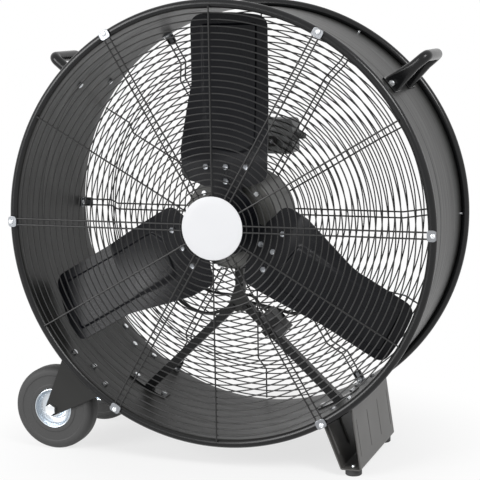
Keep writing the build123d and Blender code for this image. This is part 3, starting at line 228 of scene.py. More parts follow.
def between(front, back, closedColumns=False):
    # A sheet between two grids of points, joined along its open borders.
    rows, columns = front.shape[:2]
    face = gridQuads(rows, columns, False, closedColumns)
    rim = lambda line: np.stack([line[:-1], line[1:], line[1:] + rows * columns,
                                 line[:-1] + rows * columns], -1)
    across = np.arange(columns + 1) % columns if closedColumns else np.arange(columns)
    along = np.arange(rows) * columns
    sides = [rim(across)[:, ::-1], rim(across + (rows - 1) * columns)]
    if not closedColumns:
        sides += [rim(along), rim(along + columns - 1)[:, ::-1]]
    quads = np.concatenate([face, face[:, ::-1] + rows * columns, *sides])
    return closedPart(np.concatenate([front.reshape(-1, 3), back.reshape(-1, 3)]), quads)


# Lamps as (watts, place, diameter), all facing the aim; places are in metres.
lighting = {
    "key": (112.0, (-2.8, -3.5, 1.9), 2.4),
    "right": (95.0, (2.5, -1.9, 2.9), 1.5),
    "low": (34.0, (-2.2, -4.2, 0.85), 1.4),
    "aim": (0.0, 0.0, 0.45), "world": 0.52,
}


def areaLamp(name, power, place, size):
    # A round lamp, turned so that it shines from its place towards the aim.
    lamp = bpy.data.lights.new(name, "AREA")
    lamp.shape = "DISK"
    lamp.energy = power
    lamp.size = size
    lampObject = bpy.data.objects.new(name, lamp)
    way = np.array(lighting["aim"]) - np.array(place)
    way /= np.linalg.norm(way)
    lampObject.location = place
    lampObject.rotation_euler = (math.acos(-way[2]), 0.0, math.atan2(way[1], way[0]) - math.pi / 2)
    scene.collection.objects.link(lampObject)


def addNode(tree, kind, inputs=None, **settings):
    # A shader node of one kind, with its settings and its sockets' own values.
    node = tree.nodes.new("ShaderNode" + kind)
    for name, value in settings.items():
        setattr(node, name, value)
    for socket, value in (inputs or {}).items():
        node.inputs[socket].default_value = value
    return node


def join(tree, *links):
    # Each link is (from node, its output, to node, its input).
    for start, output, end, socket in links:
        tree.links.new(start.outputs[output], end.inputs[socket])


def seenBy(tree, *kinds):
    # 1 for a ray of any of the kinds, else 0: the greatest of Light Path's outputs.
    rays = addNode(tree, "LightPath")
    result = rays.outputs[kinds[0]]
    for kind in kinds[1:]:
        greatest = addNode(tree, "Math", operation="MAXIMUM")
        tree.links.new(result, greatest.inputs[0])
        tree.links.new(rays.outputs[kind], greatest.inputs[1])
        result = greatest.outputs[0]
    return result


for lampName in ("key", "right", "low"):
    areaLamp(f"{lampName}Lamp", *lighting[lampName])

# The studio lights softly, and is plain white where the camera or a reflection sees it.
world = bpy.data.worlds.new("whiteStudio")
scene.world = world
world.use_nodes = True
tree = world.node_tree
tree.nodes.clear()
soft = addNode(tree, "Background", {"Strength": lighting["world"]})
white = addNode(tree, "Background", {"Color": (1, 1, 1, 1), "Strength": 1.0})
pick = addNode(tree, "MixShader")
worldOut = addNode(tree, "OutputWorld")
seen = seenBy(tree, "Is Camera Ray", "Is Glossy Ray", "Is Transmission Ray")
tree.links.new(seen, pick.inputs[0])
join(tree, (soft, 0, pick, 1), (white, 0, pick, 2), (pick, 0, worldOut, 0))

# The floor takes the shadow under the fan and fades to white, between two distances in metres.
floor = {"colour": 0.86, "fade": (0.25, 0.6), "leastWhite": 0.72, "radius": 6.0, "sides": 96}
floorMaterial = bpy.data.materials.new("paleFloor")
floorMaterial.use_nodes = True
tree = floorMaterial.node_tree
tree.nodes.clear()
matte = addNode(tree, "BsdfDiffuse", {"Color": (*[floor["colour"]] * 3, 1)})
bright = addNode(tree, "Emission", {"Strength": 1.0})
where = addNode(tree, "TexCoord")
distance = addNode(tree, "VectorMath", operation="LENGTH")
fade = addNode(tree, "MapRange", {"From Min": floor["fade"][0], "From Max": floor["fade"][1],
                                  "To Min": floor["leastWhite"]}, interpolation_type="SMOOTHSTEP")
share = addNode(tree, "Math", operation="MULTIPLY")
mixFloor = addNode(tree, "MixShader")
floorOut = addNode(tree, "OutputMaterial")
tree.links.new(seenBy(tree, "Is Camera Ray", "Is Glossy Ray"), share.inputs[1])
join(tree, (where, "Object", distance, 0), (distance, "Value", fade, "Value"),
     (fade, "Result", share, 0), (share, 0, mixFloor, 0), (matte, 0, mixFloor, 1),
     (bright, 0, mixFloor, 2), (mixFloor, 0, floorOut, 0))
floorRim = circle(floor["radius"], floor["sides"])
floorMesh = bpy.data.meshes.new("floor")
floorMesh.from_pydata([(x, y, 0.0) for x, y in floorRim.tolist()], [],
                      [tuple(range(floor["sides"]))])
floorMesh.materials.append(floorMaterial)
floorObject = bpy.data.objects.new("floor", floorMesh)
scene.collection.objects.link(floorObject)
scene.view_settings.view_transform = "Standard"
print("camera, lamps and floor set")

# Shared by every finish: detail of the slow patches and of the grain, and the grain's height in m.
texture = {"patchDetail": 4.0, "grainDetail": 2.0, "grainHeight": 0.0006}


def finish(name, colour, roughness, metallic=0.0, spread=0.25, grain=900.0, bump=0.02,
           patch=14.0, roughSpread=0.08, stretch=(1, 1, 1), specular=0.5):
    # Base colour = colour x (1 +- spread) and roughness +- roughSpread by the same slow patches;
    # the surface stands up and down by a fine noise of the given grain.
    material = bpy.data.materials.new(name)
    material.use_nodes = True
    tree = material.node_tree
    shader = tree.nodes["Principled BSDF"]
    low = [c * (1 - spread) for c in colour]
    high = [min(1.0, c * (1 + spread)) for c in colour]
    where = addNode(tree, "TexCoord")
    mapping = addNode(tree, "Mapping", {"Scale": stretch})
    slow = addNode(tree, "TexNoise", {"Scale": patch, "Detail": texture["patchDetail"]})
    fine = addNode(tree, "TexNoise", {"Scale": grain, "Detail": texture["grainDetail"]})
    tint = addNode(tree, "Mix", {"A": (*low, 1), "B": (*high, 1)}, data_type="RGBA")
    rough = addNode(tree, "MapRange", {"To Min": roughness - roughSpread,
                                       "To Max": roughness + roughSpread})
    relief = addNode(tree, "Bump", {"Strength": bump, "Distance": texture["grainHeight"]})
    join(tree, (where, "Object", mapping, "Vector"), (mapping, "Vector", slow, "Vector"),
         (mapping, "Vector", fine, "Vector"), (slow, "Fac", tint, "Factor"),
         (tint, "Result", shader, "Base Color"), (slow, "Fac", rough, "Value"),
         (rough, "Result", shader, "Roughness"), (fine, "Fac", relief, "Height"),
         (relief, "Normal", shader, "Normal"))
    shader.inputs["Metallic"].default_value = metallic
    shader.inputs["Specular IOR Level"].default_value = specular
    return material


# The shell's patches are squeezed along its depth into fine streaks round the drum: their lighter
# and darker colour is painted shadow and reflection of the guard rings on the wall, and the
# roughness follows the same streaks.
shellPaint = finish("shellPaint", (0.0160, 0.0161, 0.0154), 0.40, spread=0.5, bump=0.05, patch=5.0,
                    roughSpread=0.2, stretch=(1, 34, 1), specular=0.3)
# On the drum's beads, which are rolled from the wall's own painted sheet, this paint's darker base
# colour is painted shade.
beadPaint = finish("beadPaint", (0.005, 0.0052, 0.0056), 0.24, bump=0.03, roughSpread=0.05,
                   specular=0.3)
wirePaint = finish("wirePaint", (0.014, 0.014, 0.014), 0.38, bump=0.05, specular=0.4)
bladePaint = finish("bladePaint", (0.0045, 0.0048, 0.0066), 0.28, bump=0.05, roughSpread=0.05,
                    specular=0.21)
motorPaint = finish("motorPaint", (0.08, 0.08, 0.075), 0.4, bump=0.08)
capPaint = finish("capPaint", (0.585, 0.59, 0.605), 0.35, spread=0.01)
zincPlate = finish("zincPlate", (0.82, 0.84, 0.86), 0.3, metallic=1.0, spread=0.08, bump=0.1)
clipZinc = finish("clipZinc", (0.25, 0.26, 0.275), 0.36, metallic=1.0, spread=0.1, bump=0.1)
footPaint = finish("footPaint", (0.06, 0.058, 0.055), 0.42, bump=0.06)
rimZinc = finish("rimZinc", (0.62, 0.66, 0.70), 0.28, metallic=1.0, spread=0.1, bump=0.1)
groundSteel = finish("groundSteel", (0.45, 0.45, 0.46), 0.35, metallic=1.0, spread=0.1)
bronze = finish("bronze", (0.55, 0.4, 0.2), 0.4, metallic=1.0, spread=0.15)
copperWire = finish("copperWire", (0.55, 0.22, 0.1), 0.4, metallic=1.0, spread=0.2)
tyreRubber = finish("tyreRubber", (0.036, 0.036, 0.036), 0.62, bump=0.2, grain=1500)
padRubber = finish("padRubber", (0.03, 0.03, 0.03), 0.7, bump=0.2)
boxPlastic = finish("boxPlastic", (0.2, 0.205, 0.205), 0.5, spread=0.1, bump=0.15)
caseBlack = finish("caseBlack", (0.012, 0.012, 0.013), 0.45, bump=0.1)
knobBlack = finish("knobBlack", (0.012, 0.012, 0.012), 0.3, bump=0.05)
jacketBlack = finish("jacketBlack", (0.012, 0.012, 0.012), 0.5, bump=0.1)
slotFinish = {
    "shell_paint": shellPaint, "guard_paint": wirePaint, "cap_paint": capPaint,
    "zinc": zincPlate, "rim_zinc": rimZinc, "blade_paint": bladePaint,
    "motor_paint": motorPaint, "steel": groundSteel, "rotor_metal": groundSteel,
    "bush_bronze": bronze, "winding": copperWire, "tyre": tyreRubber, "rubber": padRubber,
    "box_plastic": boxPlastic, "capacitor_case": caseBlack, "knob_plastic": knobBlack,
    "lead_jacket": jacketBlack,
}
glossyNodes = ("left_strut", "right_strut", "gusset_bolts", "capacitor_clamp")
for part in frame["record"]["subparts"]:
    coats = nodes[part["node"]].data.materials
    coats.clear()
    glossy = part["node"] in glossyNodes
    coats.append(beadPaint if glossy else slotFinish[part["material_slot"]])
print("finishes made:", len(slotFinish))

# Drum shell: rolled sheet with a rolled bead at each mouth and a fine pressed line round it
shell = {
    "inner": 389.0, "outer": 390.5, "mouth": 145.0, "wallEnd": 144.0, "around": 320,
    "beadCentre": 397.0, "beadRadius": 8.0, "beadTurn": 308.7, "beadClear": 0.3,
    "lineDepth": -46.0, "lineHalf": 1.5, "lineCut": 0.5, "lineReach": 4.0, "lineGap": 2.0,
}


def pressedLine(depth):
    # How far the sheet is pressed in: cut x exp(-((depth - middle) / half width)^2).
    return shell["lineCut"] * np.exp(-((depth - shell["lineDepth"]) / shell["lineHalf"]) ** 2)


def shellProfile():
    # The sheet's section: inner wall, rear bead, outer wall and front bead, as one closed line.
    wall = shell["outer"] - shell["inner"]
    near, far = shell["lineDepth"] - shell["lineReach"], shell["lineDepth"] + shell["lineReach"]
    depth = np.concatenate([np.linspace(-shell["wallEnd"], near - shell["lineGap"], 8),
                            np.linspace(near, far, 17),
                            np.linspace(far + shell["lineGap"], shell["wallEnd"], 14)])
    inside = np.stack([depth, shell["inner"] - pressedLine(depth)], -1)
    outside = np.stack([depth, shell["outer"] - pressedLine(depth)], -1)
    middle = (shell["mouth"], shell["beadCentre"])
    last = shell["beadTurn"] - 90
    skin = arc(middle, shell["beadRadius"], -90, last, 30)
    lining = arc(middle, shell["beadRadius"] - wall, last, -90, 26)
    toFront = np.array([-1.0, 1.0])
    return np.concatenate([inside, skin, lining, outside[::-1],
                           (lining * toFront)[::-1], (skin * toFront)[::-1]])


drumShell = meshPiece("drumShell", [turned(shellProfile(), shell["around"])], shellPaint, "drum",
                      "drum_shell")
# The beads are glossier than the wall, and darker in colour, which is painted shade, as they are the
# same painted sheet: their faces lie near a mouth and clear of the sheet.
drumShell.data.materials.append(beadPaint)
middles = np.zeros(len(drumShell.data.polygons) * 3)
drumShell.data.polygons.foreach_get("center", middles)
x, y, z = middles.reshape(-1, 3).T / mm
onBead = np.abs(y) > shell["mouth"] - shell["beadRadius"]
onBead &= np.hypot(x, z - axisHeight) > shell["outer"] + shell["beadClear"]
drumShell.data.polygons.foreach_set("material_index", onBead.astype(np.int32))
print("shell made")

# Wire guards: rings, paired spokes every 60 degrees and single ones between them
guards = {
    "ringWire": 1.25, "spokeWire": 1.5,                     # the wires' radii
    "rings": (63.5, 381.0, 28), "ringSteps": (90, 0.42),    # steps round, and more per mm of radius
    "spokeEvery": 60, "pairShift": 5.75,
    "frontRing": -151.0, "frontSpoke": -153.9, "frontReach": (40.0, 392.0),
    "rearRing": 86.0, "rearRise": 49.0, "knees": (292.8, 328.1), "kneeRadius": 4.0,
    "rearSpoke": 88.9, "rearReach": (61.0, 384.3),
}
every, pairShift = guards["spokeEvery"], guards["pairShift"]
spokePlaces = [(a, side * pairShift) for a in range(0, 360, every) for side in (-1, 1)]
spokePlaces += [(a, 0.0) for a in range(every // 2, 360, every)]


def ringWires(depths, radii):
    # Each ring is its wire's circle turned round the axis.
    fewest, more = guards["ringSteps"]
    return [turned(circle(guards["ringWire"]) + (depth, radius), int(fewest + radius * more))
            for depth, radius in zip(depths, radii)]


def spokeWire(angle, shift, line):
    # A spoke follows a line of (radius, depth) in a radial plane moved sideways by the shift.
    radius, depth = np.asarray(line).T
    return carried(onDrum(angle, radius, depth, shift), circle(guards["spokeWire"]),
                   tangentAt(angle))


ringRadii = np.linspace(*guards["rings"])
frontLine = [(r, guards["frontSpoke"]) for r in np.linspace(*guards["frontReach"], 4)]
parts = ringWires(np.full(len(ringRadii), guards["frontRing"]), ringRadii)
parts += [spokeWire(angle, shift, frontLine) for angle, shift in spokePlaces]
meshPiece("frontGuard", parts, wirePaint, "drum", "front_guard_wires")

# The rear guard is dished: it rises between two knees, and its spokes are bent there.
lowKnee, highKnee = guards["knees"]
rise = guards["rearRise"]
riseShare = np.clip((ringRadii - lowKnee) / (highKnee - lowKnee), 0, 1)
kneeShift = (guards["rearSpoke"] - guards["rearRing"]) * math.tan(
    math.atan2(rise, highKnee - lowKnee) / 2)
rearLine = rounded([(guards["rearReach"][0], guards["rearSpoke"]),
                    (lowKnee - kneeShift, guards["rearSpoke"]),
                    (highKnee - kneeShift, guards["rearSpoke"] + rise),
                    (guards["rearReach"][1], guards["rearSpoke"] + rise)],
                   guards["kneeRadius"], closed=False)
parts = ringWires(guards["rearRing"] + rise * riseShare, ringRadii)
parts += [spokeWire(angle, shift, rearLine) for angle, shift in spokePlaces]
meshPiece("rearGuard", parts, wirePaint, "drum", "rear_guard_wires")
print("guards made:", len(ringRadii), "rings and", len(spokePlaces), "spokes each")

# Cap on the front guard: a disc whose front edge is rounded over
cap = {"radius": 57.5, "back": -155.5, "front": -157.1, "soft": 0.9, "backEdge": 0.3,
       "faceRings": (40.0, 20.0), "pole": 2.0}
capEdge = arc((cap["front"] + cap["soft"], cap["radius"] - cap["soft"]), cap["soft"], 90, 180, 6)
capProfile = np.concatenate([
    [(cap["back"], cap["pole"]), (cap["back"], cap["radius"] - cap["backEdge"]),
     (cap["back"] - cap["backEdge"], cap["radius"])],
    capEdge, [(cap["front"], radius) for radius in (*cap["faceRings"], cap["pole"])]])
meshPiece("guardCap", [turned(capProfile, 128, solid=True)], capPaint, "drum", "front_guard_cap")
print("cap made")


def onFace(angle, radius, depth, shift=0.0):
    # Places (a outwards, b along the tangent, h towards the front) on a plane across the axis.
    return lambda a, b, h: onDrum(angle, radius + a, depth - h, shift + b)


def inWall(angle, depth, radius):
    # Places (a along the axis, b along the tangent, h towards the axis) inside the drum's wall.
    return lambda a, b, h: onDrum(angle, radius - h, depth + a, b)


def alongY(x, y, z, way):
    # Places on a plane across Y, its height pointing the given way.
    return lambda a, b, h: np.stack([x + a, y + way * h, z + b], -1)


def hexagon(across, turn):
    # Distance from the middle to a hexagon's side at an angle: half the width across flats
    # over the cosine of the angle to the nearest side's normal.
    return across / 2 / np.cos((turn + np.pi / 6) % (np.pi / 3) - np.pi / 6)


def ringRows(place, rows, turn, solid=True):
    # Rows of (distance, height), each a number or one value per angle, joined into a closed part.
    count = len(turn)
    grid = []
    for distance, height in rows:
        distance = np.broadcast_to(distance, count)
        grid.append(place(distance * np.cos(turn), distance * np.sin(turn),
                          np.broadcast_to(height, count) * 1.0))
    ends = [np.arange(count), np.arange(count) + count * (len(rows) - 1)] if solid else []
    return closedPart(np.concatenate(grid), gridQuads(len(rows), count, not solid, True), ends)


# Hexagon heads and nuts; topShare and seatShare are of the width across flats
hexHead = {
    "steps": 36, "topShare": 0.475, "cone": 0.577,          # the cone cuts the corners at tan 30
    "seatShare": 0.46, "seatHeight": 0.35,
    "dishShare": 0.86, "dishDeep": 0.25, "pole": (0.4, 0.3),
    "shankTip": 0.6, "boreEdge": 0.5,
}
smallBolt = (10.0, 4.0, 3.0)                                # across flats, head height, shank radius


def hexBolt(place, across, height, shank, grip):
    # A cone cuts the hexagon's corners: side height = height - (side - top) x tan 30.
    turn = np.linspace(0, 2 * np.pi, hexHead["steps"], endpoint=False)
    side, top, tip = hexagon(across, turn), across * hexHead["topShare"], hexHead["shankTip"]
    shoulder = height - (side - top) * hexHead["cone"]
    pole, poleDeep = hexHead["pole"]
    return ringRows(place, [(shank - tip, -grip), (shank, tip - grip), (shank, 0),
                            (across * hexHead["seatShare"], 0), (side, hexHead["seatHeight"]),
                            (side, shoulder), (top, height),
                            (top * hexHead["dishShare"], height - hexHead["dishDeep"]),
                            (pole, height - poleDeep)], turn)


def hexNut(place, across, height, bore):
    # The same cone at both ends, round a bore.
    turn = np.linspace(0, 2 * np.pi, hexHead["steps"], endpoint=False)
    side, top, edge = hexagon(across, turn), across * hexHead["topShare"], hexHead["boreEdge"]
    drop = (side - top) * hexHead["cone"]
    return ringRows(place, [(bore, edge), (bore + edge, 0), (top, 0), (side, drop),
                            (side, height - drop), (top, height), (bore + edge, height),
                            (bore, height - edge)], turn, solid=False)


# Pan heads; shares are of the head's radius, and rimShare and recess are of its height
panHead = {
    "steps": 40, "seatShare": 0.94, "rimShare": 0.16, "power": 2.6,
    "rings": (0.97, 0.9, 0.78, 0.64, 0.54, 0.46, 0.38, 0.28, 0.18, 0.06),
    "armHalf": 0.16, "armLength": 0.56, "armEdge": 0.05, "recess": 0.5,
}


def panScrew(place, radius, height, shank, grip):
    # A dome of height x sqrt(1 - (d/r)^2.6) on a low rim, with a cross recess sunk in its middle.
    turn = np.linspace(0, 2 * np.pi, panHead["steps"], endpoint=False)
    rim, edge = height * panHead["rimShare"], panHead["armEdge"] * radius
    rows = [(shank, -grip), (shank, 0), (radius * panHead["seatShare"], 0), (radius, rim)]
    for share in panHead["rings"]:
        a, b = np.abs(radius * share * np.cos(turn)), np.abs(radius * share * np.sin(turn))
        arm = np.clip((panHead["armHalf"] * radius - np.minimum(a, b)) / edge, 0, 1)
        reach = np.clip((panHead["armLength"] * radius - np.maximum(a, b)) / edge, 0, 1)
        dome = (height - rim) * (1 - share ** panHead["power"]) ** 0.5 + rim
        rows.append((radius * share, dome - panHead["recess"] * height * arm * reach))
    return ringRows(place, rows, turn)


# Wheels: the rim's points are (depth, radius) of its front half, and its rear half mirrors them
wheel = {
    "depths": {"front": -104.0, "rear": 104.0}, "axle": (-342.974, 80.0),
    "half": 20.0, "tread": 80.0, "shoulder": 12.0, "bore": 38.0, "boreEdge": 1.2,
    "wall": (46.0, 63.5), "wallSunk": 1.1, "wallStep": 1.0, "wallEdge": 0.6,
    "rim": [(-19.0, 37.7), (-19.7, 37.5), (-20.0, 36.7), (-19.7, 35.9), (-18.6, 35.4), (-13.0, 35.2),
            (-9.0, 34.3), (-5.6, 31.8), (-3.2, 28.0), (-2.1, 24.0), (-2.4, 20.8), (-4.6, 18.4),
            (-10.0, 17.2), (-16.6, 16.8), (-17.6, 16.0), (-17.8, 10.3)],
    "bolt": (19.0, 7.5, 6.0), "boltLift": 0.1, "boltEnd": 11.5, "nut": 10.0, "nutPlay": 0.05,
}
axleAngle = math.degrees(math.atan2(wheel["axle"][1] - axisHeight, wheel["axle"][0]))
bracket = {"wall": 390.6, "thick": 3.0, "halfLength": 59.0, "span": 23.0, "end": 13.0, "soft": 0.7}
# Bolts through the shell: a pair for each handle and three for each wheel bracket
wallBolts = {
    "seat": 388.9, "grip": 11.2, "handleAngles": (39.8, 140.2), "handleDepths": (-52.0, 86.0),
    "step": 42.0, "outward": 15.0, "inward": 7.0,
}


def tyreProfile(depth):
    # Half of the section runs from the tread over the sunk side wall to the bore; the whole
    # is that half and its mirror, with its corners rounded.
    half, step = wheel["half"], wheel["wallStep"]
    low, high = wheel["wall"]
    sunk = half - wheel["wallSunk"]
    right = [(half, wheel["tread"]), (half, high + step), (sunk, high - step),
             (sunk, low + step), (half, low - step), (half, wheel["bore"])]
    corners = [(-d, r) for d, r in right[::-1]] + right
    radii = [wheel["boreEdge"], *[wheel["wallEdge"]] * 4, wheel["shoulder"]]
    return rounded(corners, radii + radii[::-1]) + (depth, 0.0)


def cheekOutline():
    # Tangents from the two feet on the wall to the round end about the axle, closed along the wall:
    # a tangent point lies at the foot's direction +- acos(end radius / distance).
    centre = np.array(wheel["axle"]) - (0.0, axisHeight)
    half = math.degrees(bracket["halfLength"] / bracket["wall"])
    feet = arc((0, 0), bracket["wall"], axleAngle + half, axleAngle - half, 15)
    turns = []
    for foot, side in ((feet[-1], 1), (feet[0], -1)):
        away = foot - centre
        turns.append(math.atan2(away[1], away[0]) +
                     side * math.acos(bracket["end"] / np.hypot(*away)))
    start, end = np.degrees(turns)
    roundEnd = arc(centre, bracket["end"], start, end + 360, 24)
    return np.concatenate([feet, roundEnd]) + (0.0, axisHeight)


for name, depth in wheel["depths"].items():
    meshPiece(f"{name}Tyre", [turned(tyreProfile(depth), 120, wheel["axle"])], tyreRubber,
              f"{name}_wheel", f"{name}_tyre", angle=40)
    left = np.array(wheel["rim"])
    profile = np.concatenate([left, (left * (-1, 1))[::-1]]) + (depth, 0.0)
    meshPiece(f"{name}Rim", [turned(profile, 96, wheel["axle"])], rimZinc,
              f"{name}_wheel", f"{name}_rim", angle=40)
    parts = []
    for side in (-1, 1):
        near = depth + side * bracket["span"]
        far = near + side * bracket["thick"]
        parts.append(slab(cheekOutline(), edgeRows(min(near, far), max(near, far), bracket["soft"]),
                          lambda a, b, h: np.stack([a, h, b], -1)))
    reach = bracket["span"] + bracket["thick"]
    depths = np.array([depth - reach, depth + reach])[:, None]
    along = np.linspace(-bracket["halfLength"], bracket["halfLength"], 25)[None, :]
    parts.append(between(*[onWall(axleAngle, radius, depths, along)
                           for radius in (bracket["wall"], bracket["wall"] + bracket["thick"])]))
    meshPiece(f"{name}Bracket", parts, shellPaint, "drum", f"{name}_wheel_bracket")

axleX, axleZ = wheel["axle"]
reach = bracket["span"] + bracket["thick"] + wheel["boltLift"]
across, headHeight, shank = wheel["bolt"]
heads, nuts = [], []
for depth in wheel["depths"].values():
    side = math.copysign(1, depth)
    heads.append(hexBolt(alongY(axleX, depth + side * reach, axleZ, side), across, headHeight,
                         shank, 2 * reach + wheel["boltEnd"]))
    nuts.append(hexNut(alongY(axleX, depth - side * reach, axleZ, -side), across, wheel["nut"],
                       shank + wheel["nutPlay"]))
meshPiece("axleBolts", heads, zincPlate, "drum", "axle_bolts", angle=25)
meshPiece("axleNuts", nuts, zincPlate, "drum", "axle_nuts", angle=25)

stepAngle = math.degrees(wallBolts["step"] / shell["outer"])
boltPlaces = [(angle, depth) for angle in wallBolts["handleAngles"]
              for depth in wallBolts["handleDepths"]]
for depth in wheel["depths"].values():
    side = math.copysign(1, depth)
    for k in (-1, 0, 1):
        shift = wallBolts["outward"] if k else -wallBolts["inward"]
        boltPlaces.append((axleAngle + k * stepAngle, depth + side * shift))
meshPiece("shellBolts", [hexBolt(inWall(angle, depth, wallBolts["seat"]), *smallBolt,
                                 wallBolts["grip"]) for angle, depth in boltPlaces],
          zincPlate, "drum", "shell_bolts", angle=25)
print("wheels made")

# Blades: (r, t) is (radius along the blade, distance across it). Rows are runs of
# (from, to, step) in radius, and columns runs of (from, to, count) in shares of the width.
blade = {
    "depth": -76.0, "thick": 2.5, "angles": (90, 210, 330),
    "tip": 381.0, "trailing": -79.0, "leading": 60.0, "tipCorner": 22.0, "tipPoints": 12,
    "root": [(130, 87), (79, 87), (73, 60), (66, 42), (66, -42), (73, -60), (79, -79)],
    "rootCorners": [0, 20, 0, 2, 2, 0, 20], "waist": 255.0,
    "pitch": 17.0, "pitchFrom": (115.0, 240.0),
    "panel": [(126, -30), (142, -56), (361, -60), (361, 41), (220, 42), (137, 38)],
    "panelHeight": 3.0, "panelBevel": 3.6, "panelSoft": 2.0,
    "rootRows": (66.0, 66.6, 67.5),
    "rows": [(69, 84, 1.5), (84, 98, 2.0), (98, 122, 4.0), (122, 148, 1.0), (148, 350, 4.0),
             (350, 359, 0.75)],
    "tipRows": 24, "tipGap": 0.05,
    "columns": [(0.0, 0.05, 4), (0.05, 0.12, 4), (0.12, 0.20, 14), (0.20, 0.80, 26),
                (0.80, 0.90, 16), (0.90, 1.0, 6)],
    "boltSpots": [(102.0, 38.5), (102.0, -38.5), (102.0, 0.0), (75.5, 0.0)],
    "boltLift": 0.1, "boltGrip": 13.3,
}


def panelRise(r, t):
    # Height of the pressed panel: 0 outside its outline, rising by a smooth step over the bevel.
    # The distance inside is the soft least of the distances to the outline's edges,
    # -soft x log(sum of exp(-distance / soft)), with far distances cut off at 60.
    corner = np.asarray(blade["panel"], float)
    ahead = np.roll(corner, -1, 0) - corner
    inward = np.stack([-ahead[:, 1], ahead[:, 0]], -1) / np.linalg.norm(ahead, axis=1)[:, None]
    away = (r[..., None] - corner[:, 0]) * inward[:, 0]
    away = np.clip(away + (t[..., None] - corner[:, 1]) * inward[:, 1], -60, 60)
    inside = -blade["panelSoft"] * np.log(np.exp(-away / blade["panelSoft"]).sum(-1))
    step = np.clip(inside / blade["panelBevel"], 0, 1)
    return blade["panelHeight"] * step * step * (3 - 2 * step)


def byRadius(edge):
    # An edge's points in order from root to tip; where two share a radius, the one nearer the
    # middle line comes first at the root and last at the tip.
    outwards = np.where(edge[:, 0] < blade["waist"], 1, -1)
    return edge[np.argsort(edge[:, 0] * 1000 + np.abs(edge[:, 1]) * outwards)]


def bladeSheet(angle):
    # Rows run from root to tip and columns across, closest together at the panel's edges.
    # The tip follows the circle r^2 = x^2 + t^2 of the swept radius, and the sheet's two faces
    # are turned by the pitch, which grows along the blade.
    tip, corner, count = blade["tip"], blade["tipCorner"], blade["tipPoints"]
    across = np.concatenate([[blade["trailing"]],
                             np.linspace(blade["trailing"] + corner, blade["leading"] - corner,
                                         count),
                             [blade["leading"]]])
    end = np.stack([np.sqrt(tip ** 2 - across ** 2), across], -1)
    line = rounded([(blade["waist"], blade["leading"]), *blade["root"], *end],
                   [0, *blade["rootCorners"], corner, *[0] * count, corner], steps=10)
    upper, lower = byRadius(line[line[:, 1] > 0]), byRadius(line[line[:, 1] < 0])
    tipRows = tip - corner + (corner - blade["tipGap"]) * np.sin(
        np.linspace(0, np.pi / 2, blade["tipRows"]))
    r = np.concatenate([blade["rootRows"], *[np.arange(*run) for run in blade["rows"]], tipRows])
    high = np.interp(r, upper[:, 0], upper[:, 1])
    low = np.interp(r, lower[:, 0], lower[:, 1])
    share = np.concatenate([np.linspace(*run, endpoint=False) for run in blade["columns"]] + [[1.0]])
    t = low[:, None] + (high - low)[:, None] * share
    r = np.broadcast_to(r[:, None], t.shape)
    start, full = blade["pitchFrom"]
    pitch = np.radians(blade["pitch"]) * np.clip((r - start) / (full - start), 0, 1)
    faces = []
    for side in (-1, 1):
        out = side * blade["thick"] / 2 - panelRise(r, t)
        faces.append(onDrum(angle, r, blade["depth"] - t * np.sin(pitch) + out * np.cos(pitch),
                            t * np.cos(pitch) + out * np.sin(pitch)))
    return between(*faces)


for number, angle in enumerate(blade["angles"], 1):
    meshPiece(f"blade{number}", [bladeSheet(angle)], bladePaint, "rotor", f"blade_{number}",
              angle=50)
boltSeat = blade["depth"] - blade["thick"] / 2 - blade["boltLift"]
meshPiece("bladeBolts", [hexBolt(onFace(angle, r, boltSeat, t), *smallBolt, blade["boltGrip"])
                         for angle in blade["angles"] for r, t in blade["boltSpots"]],
          clipZinc, "rotor", "blade_bolts", angle=25)
print("blades made")

# Handles: a round tube flattened towards its tabs; sections are (half across, half up, corner)
handle = {
    "grip": 469.0, "legs": (-34.5, 68.5), "bend": 12.0,
    "flare": (392.0, 441.6), "ends": (391.5, 436.0, 9),
    "flat": (9.25, 16.25, 4.0), "round": (10.0, 10.0, 9.7),
    "tab": (390.7, 393.6), "tabWidth": 34.0, "tabCorner": 4.0, "tabSoft": 0.8,
    "tabs": ((-63.0, -15.5), (49.5, 97.0)),
}
for name, angle in zip(("right", "left"), wallBolts["handleAngles"]):
    near, far = handle["legs"]
    flareLow, flareTop = handle["flare"]
    legs = rounded([(flareTop, near), (handle["grip"], near), (handle["grip"], far),
                    (flareTop, far)], handle["bend"], closed=False, steps=10)
    low = np.linspace(*handle["ends"])
    path = np.concatenate([np.stack([low, 0 * low + near], -1), legs,
                           np.stack([low, 0 * low + far], -1)[::-1]])
    opened = np.clip((path[:, 0] - flareLow) / (flareTop - flareLow), 0, 1)[:, None]
    sizes = np.array(handle["flat"]) * (1 - opened) + np.array(handle["round"]) * opened
    sections = np.stack([squareRound(*size) for size in sizes])
    parts = [carried(onDrum(angle, path[:, 0], path[:, 1]), sections, tangentAt(angle))]
    half = handle["tabWidth"] / 2
    for start, end in handle["tabs"]:
        plate = rounded([(-half, start), (half, start), (half, end), (-half, end)],
                        handle["tabCorner"], steps=5)
        parts.append(slab(plate, edgeRows(*handle["tab"], handle["tabSoft"]),
                          lambda a, b, h: onWall(angle, h, b, a)))
    meshPiece(f"{name}Handle", parts, beadPaint, "drum", f"{name}_handle", angle=45)

